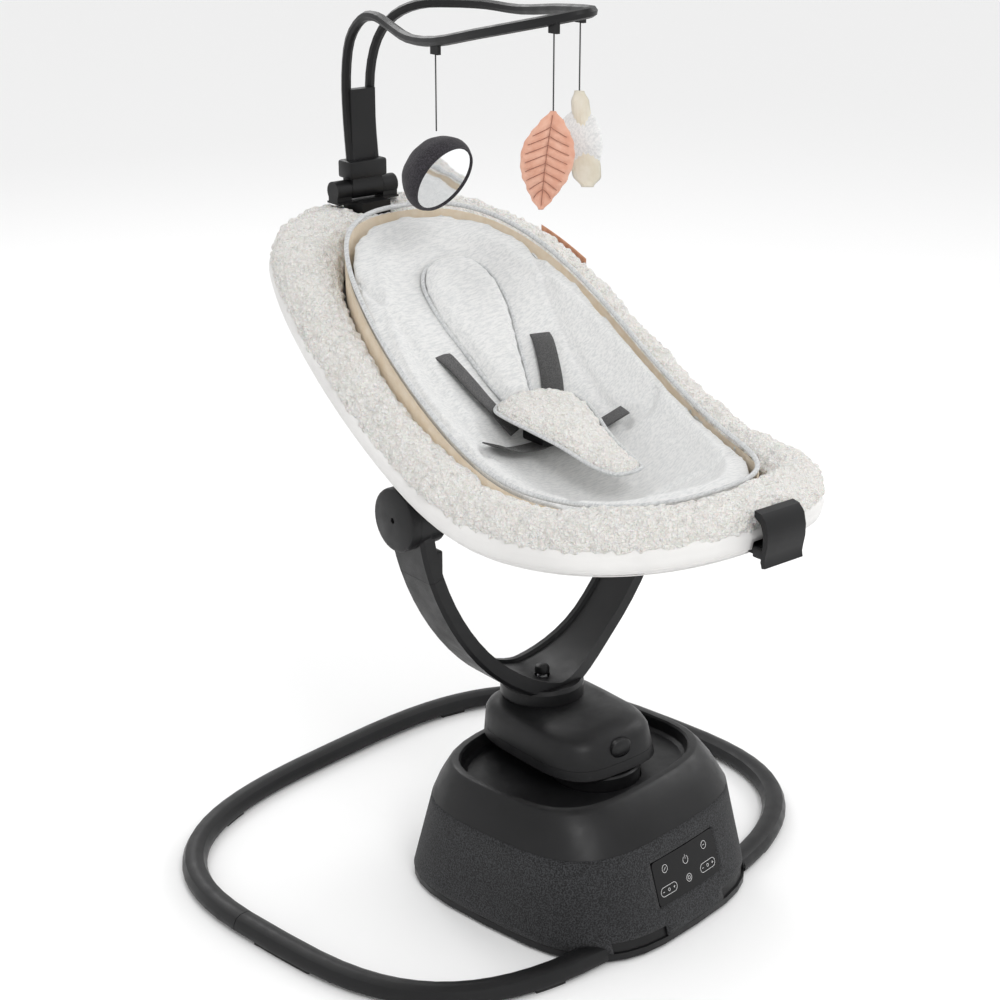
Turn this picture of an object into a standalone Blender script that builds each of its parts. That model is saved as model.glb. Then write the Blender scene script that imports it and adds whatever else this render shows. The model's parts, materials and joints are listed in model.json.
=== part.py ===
"""A motor-driven baby swing, modelled at rest in metres with +Z up.

The floor is Z = 0. The foot end and the control panel face -Y, and the seat turns about the Z axis.
Everything above the swing column is laid out square to the base, and is then turned with the column
by SWING_REST, the angle that the swing arm rests at.
"""

import math

import bmesh
import bpy
from mathutils import Matrix, Vector

# Clearances
GAP = 0.0003  # between pieces that touch
SLIP = 0.0005  # between pieces that slide or turn on each other

# Base: three levels of one rounded plan, each (height, half width, half depth)
BASE_Y = -0.072
BASE_POWER = 3.3
PLATE_TOP = 0.012
BASE_FOOT = (PLATE_TOP, 0.160, 0.172)
BASE_WAIST = (0.114, 0.154, 0.140)
BASE_RIM = (0.156, 0.135, 0.113)
RIM_Y = -0.064
FABRIC_THICK = 0.002
FABRIC_GAP = 0.0007  # the flat facets of the two curved walls stay clear of each other
SHELL_WALL = 0.003
TRAY_FLOOR = 0.140
PANEL_HALF_WIDTH = 0.0535
PANEL_LOW, PANEL_HIGH = 0.0440, 0.0925
INLET = (0.060, 0.034)  # x and z of the power inlet in the back wall

# Floor hoop
HOOP_HALF_X, HOOP_HALF_Y, HOOP_Y, HOOP_POWER = 0.3425, 0.274, 0.065, 3.05
HOOP_LOW, HOOP_HEIGHT, HOOP_HALF_WIDTH = 0.005, 0.0165, 0.0145
HOOP_SEAM = 5.0  # degrees behind the widest point
HOOP_END = -78.0  # degrees, inside the base
PAD_TURNS = {"side": -2.0, "rear": 65.0, "front": -65.0}

# Swing column
COLUMN_Y = -0.095
POST_RADIUS, POST_BORE = 0.030, 0.0245
POST_FOOT, POST_TOP = 0.0206, 0.1562
NECK_RADIUS = 0.050
BEARING_LOW, BEARING_HIGH, BEARING_RADIUS = 0.106, 0.118, POST_RADIUS + 0.010
SWING_REST = -8.5  # degrees

# Arm housing, the block that the column carries
HOUSING_LOW, HOUSING_SPLIT, HOUSING_TOP = 0.1567, 0.170, 0.2052
HOUSING_FRONT_LOW, HOUSING_FRONT_HIGH, HOUSING_BACK = -0.144, -0.131, 0.049
HOUSING_HALF_LOW, HOUSING_HALF_HIGH, HOUSING_POWER = 0.0735, 0.0710, 3.5
HOUSING_WALL = 0.003
FLANGE_THICK = 0.0035
SPINDLE_RADIUS, SPINDLE_TOP = 0.012, 0.2175
BUTTON_Z, BUTTON_HALF_X, BUTTON_HALF_Z = 0.1855, 0.0140, 0.0095

# Fork: its outline is a superellipse about the recline axis
HUB_Y, HUB_Z = 0.008, 0.460
FORK_HALF_X, FORK_DEPTH, FORK_POWER = 0.187, 0.252, 1.66
FORK_SEAM_Z = 0.388
LATCH_IN, LATCH_OUT = 0.1560, 0.1680
FORK_HALF_WIDE, FORK_HALF_NARROW = 0.044, 0.030
FORK_THICK_LOW, FORK_THICK_HIGH = 0.020, 0.017
CHANNEL_DEPTH, CHANNEL_EDGE = 0.004, 0.006
COLLAR_RADIUS, COLLAR_LOW, COLLAR_TOP = 0.048, 0.2057, 0.2235
BORE_TOP = 0.2215
SWIVEL_BUTTON_RADIUS, SWIVEL_BUTTON_LOW, SWIVEL_BUTTON_TOP = 0.0086, 0.2280, 0.2385
SPRING_RADIUS, SPRING_WIRE, SPRING_TURNS = 0.0055, 0.0007, 4

# Hubs, along X from the seat outwards
HUB_RADIUS, PIN_RADIUS = 0.035, 0.008
BRACKET_IN, BRACKET_OUT = 0.1545, 0.1708
ARM_HUB_IN, ARM_HUB_OUT = 0.1715, 0.1880
CAP_OUT = 0.2005
REST_OUT = 0.1870  # the rest under the frame tube

# Seat rim: the plan's outer and inner outlines, (half width, half length, centre y)
RIM_OUTER = (0.212, 0.3565, 0.0185)
RIM_INNER = (0.158, 0.2635, -0.0015)
RIM_POWER = 2.5
RIM_LOW, RIM_RISE, FOOT_LIFT = 0.523, 0.197, 0.028
Y_LOW, Y_HEAD, Y_FOOT = -0.150, 0.360, -0.360
BORDER_THICK = 0.040
FRAME_RADIUS, FRAME_PLACE, FRAME_DROP = 0.007, 0.55, 0.0500
BUCKET_SCALES = (0.84, 0.60, 0.32, 0.12)
SHELL_THICK, COVER_THICK = 0.003, 0.0025
SHELL_DROP, SHELL_DEPTH = 0.047, 0.047
CREST_FOOT, CREST_HEAD = -0.004, 0.026
NEST_DEEP, NEST_SHALLOW = -0.066, -0.016
STRAP_HALF = 0.0125

# Recline handle at the foot end
HANDLE_PIVOT = (-0.347, 0.491)
HANDLE_HALF_X = 0.0265

# Toy bar
TOY_PIVOT = (0.333, RIM_LOW + RIM_RISE + 0.0145)
KNUCKLE_RADIUS, KNUCKLE_HALF_X, BARREL_HALF_X = 0.0115, 0.0222, 0.043
BAR_RADIUS = 0.0058
# Heights of the bar and of its eyelets are over the pivot
BAR_LEFT = (
    (-0.0165, 0.3310, 0.0205), (-0.0165, 0.3370, 0.0805), (-0.0170, 0.3370, 0.1305),
    (-0.0200, 0.3230, 0.1735), (-0.0230, 0.2940, 0.1995), (-0.0270, 0.2620, 0.2055),
    (-0.0330, 0.2250, 0.1985), (-0.0460, 0.1750, 0.1925), (-0.0560, 0.1150, 0.1965),
    (-0.0570, 0.0450, 0.2115), (-0.0420, -0.0300, 0.2285), (-0.0180, -0.0640, 0.2375),
)
BAR_RIGHT = (
    (0.0000, -0.0660, 0.2395), (0.0130, -0.0480, 0.2385), (0.0400, 0.0300, 0.2305),
    (0.0590, 0.1150, 0.2205), (0.0580, 0.1750, 0.2205), (0.0470, 0.2250, 0.2185),
    (0.0330, 0.2620, 0.2145), (0.0240, 0.2970, 0.1995), (0.0195, 0.3240, 0.1715),
    (0.0170, 0.3370, 0.1305), (0.0165, 0.3370, 0.0805), (0.0165, 0.3310, 0.0205),
)
TAB_DROP, TAB_HALF = 0.0135, 0.0065
STRING_RADIUS = 0.0008
EYELETS = {
    "mirror": ((-0.0560, 0.1150, 0.1965), 0.080),
    "leaf": ((-0.0320, -0.0480, 0.2330), 0.076),
    "pod": ((0.0200, -0.0280, 0.2375), 0.068),
}
MIRROR_FACING = (0.15, -0.89, -0.44)
LEAF_FACING = -50.0  # degrees about Z

OVAL_STEPS = 36
SEAT_STEPS = 32
TURN_STEPS = 28

COLOURS = {
    "black_plastic": ((0.016, 0.016, 0.017), 0.42, 0.0),
    "gloss_black": ((0.006, 0.006, 0.007), 0.08, 0.0),
    "base_fabric": ((0.045, 0.046, 0.048), 0.95, 0.0),
    "black_rubber": ((0.012, 0.012, 0.012), 0.80, 0.0),
    "steel": ((0.55, 0.55, 0.56), 0.35, 1.0),
    "copper_wire": ((0.60, 0.28, 0.12), 0.40, 1.0),
    "green_board": ((0.02, 0.12, 0.05), 0.50, 0.0),
    "grey_tube": ((0.35, 0.35, 0.36), 0.40, 1.0),
    "grey_plastic": ((0.30, 0.30, 0.31), 0.55, 0.0),
    "white_cloth": ((0.80, 0.79, 0.77), 0.75, 0.0),
    "sherpa": ((0.83, 0.81, 0.77), 0.95, 0.0),
    "jersey": ((0.68, 0.68, 0.68), 0.90, 0.0),
    "webbing": ((0.035, 0.035, 0.037), 0.85, 0.0),
    "copper_label": ((0.62, 0.30, 0.18), 0.70, 0.0),
    "charcoal_jersey": ((0.040, 0.036, 0.042), 0.92, 0.0),
    "mirror_face": ((0.85, 0.86, 0.87), 0.05, 1.0),
    "peach_cotton": ((0.72, 0.38, 0.28), 0.90, 0.0),
    "cream_rib": ((0.78, 0.72, 0.60), 0.92, 0.0),
}


# ---------------------------------------------------------------- scene and materials

def clear_scene():
    for old in list(bpy.data.objects):
        bpy.data.objects.remove(old, do_unlink=True)


def new_collection(name):
    made = bpy.data.collections.new(name)
    bpy.context.scene.collection.children.link(made)
    return made


clear_scene()
PARTS = new_collection("baby_swing")
CUTTERS = new_collection("cutters")


def finish_of(name):
    """The named Principled material, made the first time it is asked for."""
    found = bpy.data.materials.get(name)
    if found:
        return found
    colour, roughness, metallic = COLOURS[name]
    made = bpy.data.materials.new(name)
    made.use_nodes = True
    shader = made.node_tree.nodes["Principled BSDF"]
    shader.inputs["Base Color"].default_value = (*colour, 1.0)
    shader.inputs["Roughness"].default_value = roughness
    shader.inputs["Metallic"].default_value = metallic
    made.diffuse_color = (*colour, 1.0)
    return made


# ---------------------------------------------------------------- shape helpers

def lerp(low, high, part):
    return low + (high - low) * part


def smooth_step(part):
    part = min(1.0, max(0.0, part))
    return part * part * (3.0 - 2.0 * part)


def signed_power(value, power):
    return math.copysign(abs(value) ** power, value)


def oval_point(half_x, half_y, centre_y, power, turn):
    """The point of a superellipse at a turn in radians from +X."""
    x = half_x * signed_power(math.cos(turn), 2.0 / power)
    y = half_y * signed_power(math.sin(turn), 2.0 / power)
    return x, centre_y + y


def oval(half_x, half_y, centre_y, power, z, steps=OVAL_STEPS):
    turns = (2.0 * math.pi * step / steps for step in range(steps))
    return [Vector((*oval_point(half_x, half_y, centre_y, power, turn), z)) for turn in turns]


def circle(radius, centre, steps=OVAL_STEPS):
    x, y, z = centre
    turns = (2.0 * math.pi * step / steps for step in range(steps))
    return [Vector((x + radius * math.cos(t), y + radius * math.sin(t), z)) for t in turns]


def link(obj, finish):
    PARTS.objects.link(obj)
    obj.data.materials.append(finish_of(finish))
    return obj


def from_bmesh(name, shape, finish, origin=(0.0, 0.0, 0.0), smooth=35.0):
    """Makes a part of a world-space bmesh, with its origin at the given point."""
    bmesh.ops.recalc_face_normals(shape, faces=shape.faces)
    bmesh.ops.translate(shape, verts=shape.verts, vec=-Vector(origin))
    mesh = bpy.data.meshes.new(name)
    shape.to_mesh(mesh)
    shape.free()
    mesh.shade_smooth()
    mesh.set_sharp_from_angle(angle=math.radians(smooth))
    obj = bpy.data.objects.new(name, mesh)
    obj.location = origin
    return link(obj, finish)


def skin(name, rings, finish, ends="caps", origin=(0.0, 0.0, 0.0), smooth=35.0):
    """Lofts through closed rings. ends is caps, poles (a fan about each middle) or loop."""
    shape = bmesh.new()
    rows = [[shape.verts.new(point) for point in ring] for ring in rings]
    count = len(rows[0])
    pairs = list(zip(rows, rows[1:]))
    if ends == "loop":
        pairs.append((rows[-1], rows[0]))
    for first, second in pairs:
        for i in range(count):
            j = (i + 1) % count
            shape.faces.new((first[i], first[j], second[j], second[i]))
    if ends == "caps":
        shape.faces.new(rows[0])
        shape.faces.new(rows[-1])
    if ends == "poles":
        for row in (rows[0], rows[-1]):
            middle = sum((vert.co for vert in row), Vector()) / count
            pole = shape.verts.new(middle)
            for i in range(count):
                shape.faces.new((row[i], row[(i + 1) % count], pole))
    return from_bmesh(name, shape, finish, origin, smooth)


def box(name, low, high, finish, bevel=0.0):
    """A box between two corners, with its edges rounded by a Bevel modifier."""
    low, high = Vector(low), Vector(high)
    shape = bmesh.new()
    place = Matrix.Translation((low + high) / 2) @ Matrix.Diagonal((*(high - low), 1.0))
    bmesh.ops.create_cube(shape, size=1.0, matrix=place)
    obj = from_bmesh(name, shape, finish, (low + high) / 2)
    if bevel:
        rounded = obj.modifiers.new("edges", "BEVEL")
        rounded.width = bevel
        rounded.segments = 2
    return obj


def turned(name, profile, finish, centre=(0.0, 0.0, 0.0), facing=(0.0, 0.0, 1.0), steps=TURN_STEPS):
    """A Screw-modifier solid. The profile, (radius, height), runs down the outer side.

    It is closed on itself unless both its ends are on the axis.
    """
    mesh = bpy.data.meshes.new(name)
    count = len(profile)
    edges = [(i, i + 1) for i in range(count - 1)]
    if profile[0][0] > 0.0:
        edges.append((count - 1, 0))
    mesh.from_pydata([(radius, 0.0, height) for radius, height in profile], edges, [])
    obj = bpy.data.objects.new(name, mesh)
    obj.location = centre
    obj.rotation_euler = Vector(facing).to_track_quat("Z", "Y").to_euler()
    screw = obj.modifiers.new("turn", "SCREW")
    screw.steps = steps
    screw.render_steps = steps
    screw.use_merge_vertices = True
    screw.merge_threshold = 0.00001
    screw.use_smooth_shade = False
    return link(obj, finish)


def rod(name, start, end, radius, finish, steps=24):
    """A plain cylinder between two points."""
    start, end = Vector(start), Vector(end)
    axis = end - start
    shape = bmesh.new()
    place = Matrix.Translation((start + end) / 2) @ axis.to_track_quat("Z", "Y").to_matrix().to_4x4()
    bmesh.ops.create_cone(
        shape, cap_ends=True, segments=steps, radius1=radius, radius2=radius,
        depth=axis.length, matrix=place)
    return from_bmesh(name, shape, finish, start)


def smooth_path(points, per_span):
    """Points of the Catmull-Rom curve through the given points."""
    points = [Vector(point) for point in points]
    padded = [2 * points[0] - points[1], *points, 2 * points[-1] - points[-2]]
    path = []
    for before, start, end, after in zip(padded, padded[1:], padded[2:], padded[3:]):
        for step in range(per_span):
            t = step / per_span
            path.append(0.5 * (
                2 * start + (end - before) * t
                + (2 * before - 5 * start + 4 * end - after) * t * t
                + (3 * start - before - 3 * end + after) * t ** 3))
    path.append(points[-1])
    return path


def wire(name, points, radius, finish, cyclic=False, resolution=2):
    """A round bar or cord along the points, as a bevelled POLY curve."""
    curve = bpy.data.curves.new(name, "CURVE")
    curve.dimensions = "3D"
    curve.bevel_depth = radius
    curve.bevel_resolution = resolution
    curve.use_fill_caps = True
    spline = curve.splines.new("POLY")
    spline.points.add(len(points) - 1)
    for place, point in zip(spline.points, points):
        place.co = (*point, 1.0)
    spline.use_cyclic_u = cyclic
    return link(bpy.data.objects.new(name, curve), finish)


def as_mesh(obj):
    """Swaps a curve object for a mesh one, so that a Boolean can take it."""
    name, finish, place = obj.name, obj.data.materials[0].name, obj.matrix_world.copy()
    graph = bpy.context.evaluated_depsgraph_get()
    mesh = bpy.data.meshes.new_from_object(obj.evaluated_get(graph))
    bpy.data.objects.remove(obj, do_unlink=True)
    shape = bmesh.new()
    shape.from_mesh(mesh)
    bmesh.ops.remove_doubles(shape, verts=shape.verts, dist=0.00001)
    bmesh.ops.transform(shape, matrix=place, verts=shape.verts)
    return from_bmesh(name, shape, finish, smooth=60.0)


def combine(obj, tool, operation):
    """Adds a live Boolean, and moves its tool to the hidden collection."""
    boolean = obj.modifiers.new(tool.name, "BOOLEAN")
    boolean.operation = operation
    boolean.solver = "EXACT"
    boolean.object = tool
    if tool.name in PARTS.objects:
        PARTS.objects.unlink(tool)
        CUTTERS.objects.link(tool)
    tool.hide_render = True
    tool.display_type = "WIRE"
    return obj


def cut(obj, *tools):
    for tool in tools:
        combine(obj, tool, "DIFFERENCE")
    return obj


def fuse(obj, *tools):
    for tool in tools:
        combine(obj, tool, "UNION")
    return obj


# ---------------------------------------------------------------- base

def base_size(z):
    """Half width and half depth of the fabric wall at a height."""
    part = (z - BASE_FOOT[0]) / (BASE_WAIST[0] - BASE_FOOT[0])
    return lerp(BASE_FOOT[1], BASE_WAIST[1], part), lerp(BASE_FOOT[2], BASE_WAIST[2], part)


def base_ring(z, inset=0.0):
    half_x, half_y = base_size(z)
    return oval(half_x - inset, half_y - inset, BASE_Y, BASE_POWER, z)


def wall_band(name, low, high, outer, inner, finish):
    """A band of the base wall between two heights and two insets."""
    middle = lerp(low, high, 0.5)
    outside = [base_ring(z, outer) for z in (low, middle, high)]
    inside = [base_ring(z, inner) for z in (high, middle, low)]
    return skin(name, outside + inside, finish, ends="loop")


def panel_block(name, grow):
    """The straight-through space of the control panel in the front wall."""
    low = (-PANEL_HALF_WIDTH - grow, BASE_Y - BASE_FOOT[2] - 0.02, PANEL_LOW - grow)
    high = (PANEL_HALF_WIDTH + grow, BASE_Y - BASE_WAIST[2] + 0.03, PANEL_HIGH + grow)
    return box(name, low, high, "black_plastic", bevel=0.004)


def hoop_place(turn_degrees):
    """Centre point and outward direction of the hoop at a turn."""
    turn = math.radians(turn_degrees)
    step = math.radians(0.2)
    x, y = oval_point(HOOP_HALF_X, HOOP_HALF_Y, HOOP_Y, HOOP_POWER, turn)
    ahead = Vector(oval_point(HOOP_HALF_X, HOOP_HALF_Y, HOOP_Y, HOOP_POWER, turn + step))
    behind = Vector(oval_point(HOOP_HALF_X, HOOP_HALF_Y, HOOP_Y, HOOP_POWER, turn - step))
    along = (ahead - behind).normalized()
    return Vector((x, y, 0.0)), Vector((along.y, -along.x, 0.0))


def hoop_section(grow=0.0):
    """The domed section of the hoop, as (outwards, height) points."""
    wide, low, high = HOOP_HALF_WIDTH + grow, HOOP_LOW - grow, HOOP_LOW + HOOP_HEIGHT + grow
    rise = high - low
    right = ((0.93 * wide, low), (wide, low + 0.15 * rise), (0.96 * wide, low + 0.45 * rise),
             (0.72 * wide, low + 0.82 * rise), (0.28 * wide, high))
    return right + tuple((-across, z) for across, z in reversed(right))


def hoop_piece(name, start, end, section, finish, steps):
    rings = []
    for step in range(steps + 1):
        centre, outwards = hoop_place(lerp(start, end, step / steps))
        rings.append([centre + outwards * across + Vector((0.0, 0.0, z)) for across, z in section])
    return skin(name, rings, finish)


def make_hoop():
    seam = 0.05
    section = hoop_section()
    hoop_piece("hoop_rear", HOOP_SEAM + seam, 180.0 - HOOP_SEAM - seam, section, "black_plastic", 36)
    hoop_piece("hoop_front_right", HOOP_END, HOOP_SEAM - seam, section, "black_plastic", 16)
    hoop_piece("hoop_front_left", 180.0 - HOOP_SEAM + seam, 180.0 - HOOP_END, section, "black_plastic", 16)
    pad_top = HOOP_LOW - GAP
    pad = ((-0.011, 0.0), (0.011, 0.0), (0.0115, pad_top), (-0.0115, pad_top))
    for place, turn in PAD_TURNS.items():
        hoop_piece(f"hoop_pad_{place}_right", turn - 3.5, turn + 3.5, pad, "black_rubber", 4)
        hoop_piece(f"hoop_pad_{place}_left", 176.5 - turn, 183.5 - turn, pad, "black_rubber", 4)


def hoop_sockets(name):
    """The two spaces that the hoop's front ends plug into."""
    section = hoop_section(GAP)
    right = hoop_piece(name + "_right", HOOP_END - 0.1, HOOP_END + 34.0, section, "black_plastic", 12)
    left = hoop_piece(name + "_left", 146.0 - HOOP_END, 180.1 - HOOP_END, section, "black_plastic", 12)
    return right, left


def make_base_walls():
    plate_edge = oval(BASE_FOOT[1] - 0.004, BASE_FOOT[2] - 0.004, BASE_Y, BASE_POWER, 0.0)
    plate_side = oval(BASE_FOOT[1], BASE_FOOT[2], BASE_Y, BASE_POWER, 0.004)
    plate_top = oval(BASE_FOOT[1], BASE_FOOT[2], BASE_Y, BASE_POWER, PLATE_TOP - GAP)
    plate = skin("base_plate", [plate_edge, plate_side, plate_top], "black_plastic")

    low, high = PLATE_TOP, BASE_WAIST[0] - GAP
    fabric = wall_band("speaker_fabric", low, high, 0.0, FABRIC_THICK, "base_fabric")
    shell_outer = FABRIC_THICK + FABRIC_GAP
    shell = wall_band("base_shell", low, high, shell_outer, shell_outer + SHELL_WALL, "black_plastic")

    panel = wall_band("control_panel", PANEL_LOW - 0.01, PANEL_HIGH + 0.01, -0.0008, FABRIC_THICK,
                      "gloss_black")
    combine(panel, panel_block("panel_shape", 0.0), "INTERSECT")
    cut(fabric, panel_block("panel_window", GAP))
    cut(shell, panel_block("board_window", -0.006))

    back = BASE_Y + BASE_FOOT[2]
    for wall in (fabric, shell):
        inlet_hole = rod(wall.name + "_inlet_hole", (INLET[0], back - 0.03, INLET[1]),
                         (INLET[0], back + 0.01, INLET[1]), 0.0060, "black_plastic")
        cut(wall, inlet_hole)
    speaker_hole = rod("speaker_hole", (-BASE_FOOT[1] - 0.01, BASE_Y, 0.062),
                       (-BASE_FOOT[1] + 0.02, BASE_Y, 0.062), 0.027, "black_plastic")
    cut(shell, speaker_hole)
    for piece in (plate, shell, fabric):
        cut(piece, *hoop_sockets(piece.name + "_socket"))


def make_top_cover():
    """The cap: sloping skirt, flat rim, and the tray that the neck comes up through."""
    waist_z, waist_x, waist_y = BASE_WAIST
    rim_z, rim_x, rim_y = BASE_RIM

    def level(z, part, inset):
        half_x = lerp(waist_x, rim_x, part) - inset
        half_y = lerp(waist_y, rim_y, part) - inset
        return oval(half_x, half_y, lerp(BASE_Y, RIM_Y, part), BASE_POWER, z)

    hole = NECK_RADIUS + 0.0015
    rings = [
        level(waist_z, 0.0, 0.0),
        level(lerp(waist_z, rim_z, 0.5), 0.42, 0.0),
        level(rim_z - 0.004, 0.90, 0.0),
        level(rim_z - 0.001, 1.0, 0.0006),
        level(rim_z, 1.0, 0.0025),
        level(rim_z, 1.0, 0.0085),
        level(rim_z - 0.002, 1.0, 0.0105),
        level(TRAY_FLOOR + 0.003, 1.0, 0.0130),
        level(TRAY_FLOOR, 1.0, 0.0170),
        circle(hole, (0.0, COLUMN_Y, TRAY_FLOOR)),
        circle(hole, (0.0, COLUMN_Y, TRAY_FLOOR - 0.003)),
        level(TRAY_FLOOR - 0.003, 1.0, 0.0180),
        level(rim_z - 0.004, 1.0, 0.0060),
        level(lerp(waist_z, rim_z, 0.5), 0.42, 0.0032),
        level(waist_z, 0.0, 0.0030),
    ]
    skin("base_top_cover", rings, "black_plastic", ends="loop")


def make_electronics():
    front = BASE_Y - BASE_WAIST[2] + 0.012
    box("circuit_board", (-0.040, front, PLATE_TOP), (0.040, front + 0.0016, 0.086), "green_board")

    side = -BASE_WAIST[1] + FABRIC_THICK + SHELL_WALL + 0.0012
    cone = ((0.0, -0.008), (0.009, -0.008), (0.026, -0.0005), (0.029, 0.0), (0.033, 0.0),
            (0.033, -0.003), (0.020, -0.018), (0.020, -0.030), (0.0, -0.030))
    turned("speaker", cone, "grey_plastic", (side, BASE_Y, 0.062), (-1.0, 0.0, 0.0))

    x, z = INLET
    back = BASE_Y + base_size(z)[1] - 0.001
    body = box("power_inlet", (x - 0.008, back - 0.028, z - 0.008), (x + 0.008, back - 0.012, z + 0.008),
               "black_plastic")
    barrel = rod("inlet_barrel", (x, back - 0.014, z), (x, back + 0.001, z), 0.0055, "black_plastic")
    bore = rod("inlet_bore", (x, back - 0.009, z), (x, back + 0.004, z), 0.0032, "black_plastic")
    cut(fuse(body, barrel), bore)


def make_column():
    centre = (0.0, COLUMN_Y, 0.0)
    seat = BEARING_RADIUS + 0.0002
    outer, foot, bore = BEARING_RADIUS + 0.006, BEARING_RADIUS + 0.015, POST_RADIUS + 0.004
    bush = PIN_RADIUS + SLIP
    housing = ((outer, BEARING_HIGH), (outer, 0.020), (foot, 0.018), (foot, PLATE_TOP),
               (bush, PLATE_TOP), (bush, POST_FOOT - SLIP), (bore, POST_FOOT - SLIP),
               (bore, BEARING_LOW - GAP), (seat, BEARING_LOW - GAP), (seat, BEARING_HIGH))
    turned("column_housing", housing, "grey_plastic", centre)
    ring = ((BEARING_RADIUS, BEARING_HIGH - GAP), (BEARING_RADIUS, BEARING_LOW),
            (POST_RADIUS + GAP, BEARING_LOW), (POST_RADIUS + GAP, BEARING_HIGH - GAP))
    turned("bearing_upper", ring, "steel", centre)
    post = ((0.0, POST_FOOT + 0.010), (POST_BORE, POST_FOOT + 0.010), (POST_BORE, POST_TOP),
            (NECK_RADIUS - 0.002, POST_TOP), (NECK_RADIUS, POST_TOP - 0.002),
            (NECK_RADIUS, 0.130), (POST_RADIUS, 0.127), (POST_RADIUS, POST_FOOT),
            (PIN_RADIUS, POST_FOOT), (PIN_RADIUS, PLATE_TOP + SLIP), (0.0, PLATE_TOP + SLIP))
    turned("swing_post", post, "black_plastic", centre, steps=36)
    make_drive()


def make_drive():
    """The silent drive: a coil on the base pulls a magnet on the column's arm to and fro."""
    reach = BEARING_RADIUS + 0.030
    low, high = BEARING_HIGH + 0.0008, 0.1264
    outer = POST_RADIUS + 0.008
    clamp = ((outer, high), (outer, low), (POST_RADIUS + GAP, low), (POST_RADIUS + GAP, high))
    arm = turned("magnet_arm", clamp, "steel", (0.0, COLUMN_Y, 0.0))
    beam = box("magnet_beam", (-0.008, COLUMN_Y + outer - 0.004, low),
               (0.008, COLUMN_Y + reach + 0.008, high), "steel")
    magnet = box("magnet", (-0.010, COLUMN_Y + reach - 0.008, 0.096),
                 (0.010, COLUMN_Y + reach + 0.0085, low + 0.002), "steel")
    fuse(arm, beam, magnet)
    coil = ((0.0, 0.0915), (0.006, 0.0915), (0.006, 0.0945), (0.022, 0.0945), (0.022, 0.070),
            (0.008, 0.068), (0.008, PLATE_TOP), (0.0, PLATE_TOP))
    turned("drive_coil", coil, "copper_wire", (0.0, COLUMN_Y + reach, 0.0))


# ---------------------------------------------------------------- arm housing

def housing_front(z):
    """Where the leaning front wall is at a height."""
    part = (z - HOUSING_LOW) / (HOUSING_TOP - HOUSING_LOW)
    return lerp(HOUSING_FRONT_LOW, HOUSING_FRONT_HIGH, part)


def housing_ring(z, inset):
    part = (z - HOUSING_LOW) / (HOUSING_TOP - HOUSING_LOW)
    half_x = lerp(HOUSING_HALF_LOW, HOUSING_HALF_HIGH, part)
    front = housing_front(z)
    half_y = (HOUSING_BACK - front) / 2
    return oval(half_x - inset, half_y - inset, front + half_y, HOUSING_POWER, z)


def make_housing():
    wall, floor = HOUSING_WALL, HOUSING_LOW + HOUSING_WALL
    outside = [housing_ring(HOUSING_LOW, 0.004), housing_ring(HOUSING_LOW + 0.003, 0.0),
               housing_ring(HOUSING_SPLIT, 0.0005)]
    inside = [housing_ring(HOUSING_SPLIT, 0.0005 + wall), housing_ring(floor, 0.004 + wall)]
    lower = skin("housing_lower", outside + inside, "black_plastic")
    tube_hole = rod("lift_tube_hole", (0.0, COLUMN_Y, HOUSING_LOW - 0.01), (0.0, COLUMN_Y, floor + 0.01),
                    POST_BORE, "black_plastic")
    cut(lower, tube_hole)

    drops = ((0.0150, 0.0015), (0.0080, 0.0050), (0.0030, 0.0115), (0.0, 0.0230))
    shoulder = [(HOUSING_SPLIT + GAP, 0.0005)] + [(HOUSING_TOP - drop, inset) for drop, inset in drops]
    over = [housing_ring(z, inset) for z, inset in shoulder]
    under = [housing_ring(max(HOUSING_SPLIT + GAP, z - 0.8 * wall), inset + wall) for z, inset in shoulder]
    upper = skin("housing_upper", list(reversed(under)) + over, "black_plastic", ends="poles")
    spindle_hole = rod("spindle_hole", (0.0, 0.0, HOUSING_SPLIT), (0.0, 0.0, HOUSING_TOP + 0.01),
                       SPINDLE_RADIUS + SLIP, "black_plastic")
    cut(upper, spindle_hole, button_body("button_hole", SLIP, flange=False))


def button_body(name, grow, flange=True):
    """The oval height button, along Y in the housing's front wall, or the hole it slides in."""
    wall = housing_front(BUTTON_Z)
    face = wall - 0.003
    if flange:
        back = wall + 0.0105
        levels = ((face, 0.55, 0.55), (face + 0.0010, 0.85, 0.85), (face + 0.0025, 1.0, 1.0),
                  (back, 1.0, 1.0), (back + 0.0001, 1.2, 1.0), (back + 0.003, 1.2, 1.0))
    else:
        levels = ((face - 0.005, 1.0, 1.0), (face + 0.020, 1.0, 1.0))
    rings = []
    for y, wide, tall in levels:
        flat = oval(BUTTON_HALF_X * wide + grow, BUTTON_HALF_Z * tall + grow, 0.0, 2.4, 0.0, 32)
        rings.append([Vector((point.x, y, BUTTON_Z + point.y)) for point in flat])
    return skin(name, rings, "black_plastic", ends="poles")


def make_lift():
    flange = HOUSING_LOW + HOUSING_WALL + GAP
    tube_out, tube_in = POST_BORE - SLIP, POST_BORE - SLIP - 0.004
    tube = ((0.034, flange + FLANGE_THICK), (0.034, flange), (tube_out, flange), (tube_out, 0.045),
            (tube_in, 0.045), (tube_in, flange + FLANGE_THICK))
    turned("lift_tube", tube, "steel", (0.0, COLUMN_Y, 0.0))
    spindle = ((0.0, SPINDLE_TOP), (SPINDLE_RADIUS - 0.001, SPINDLE_TOP),
               (SPINDLE_RADIUS, SPINDLE_TOP - 0.001), (SPINDLE_RADIUS, flange + FLANGE_THICK),
               (0.030, flange + FLANGE_THICK), (0.030, flange), (0.0, flange))
    turned("swivel_spindle", spindle, "steel")


# ---------------------------------------------------------------- fork, arms and hubs

def fork_turn(z):
    """The superellipse turn, from the bottom, at which the fork's outline reaches a height."""
    return math.acos(((HUB_Z - z) / FORK_DEPTH) ** (FORK_POWER / 2.0))


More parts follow.
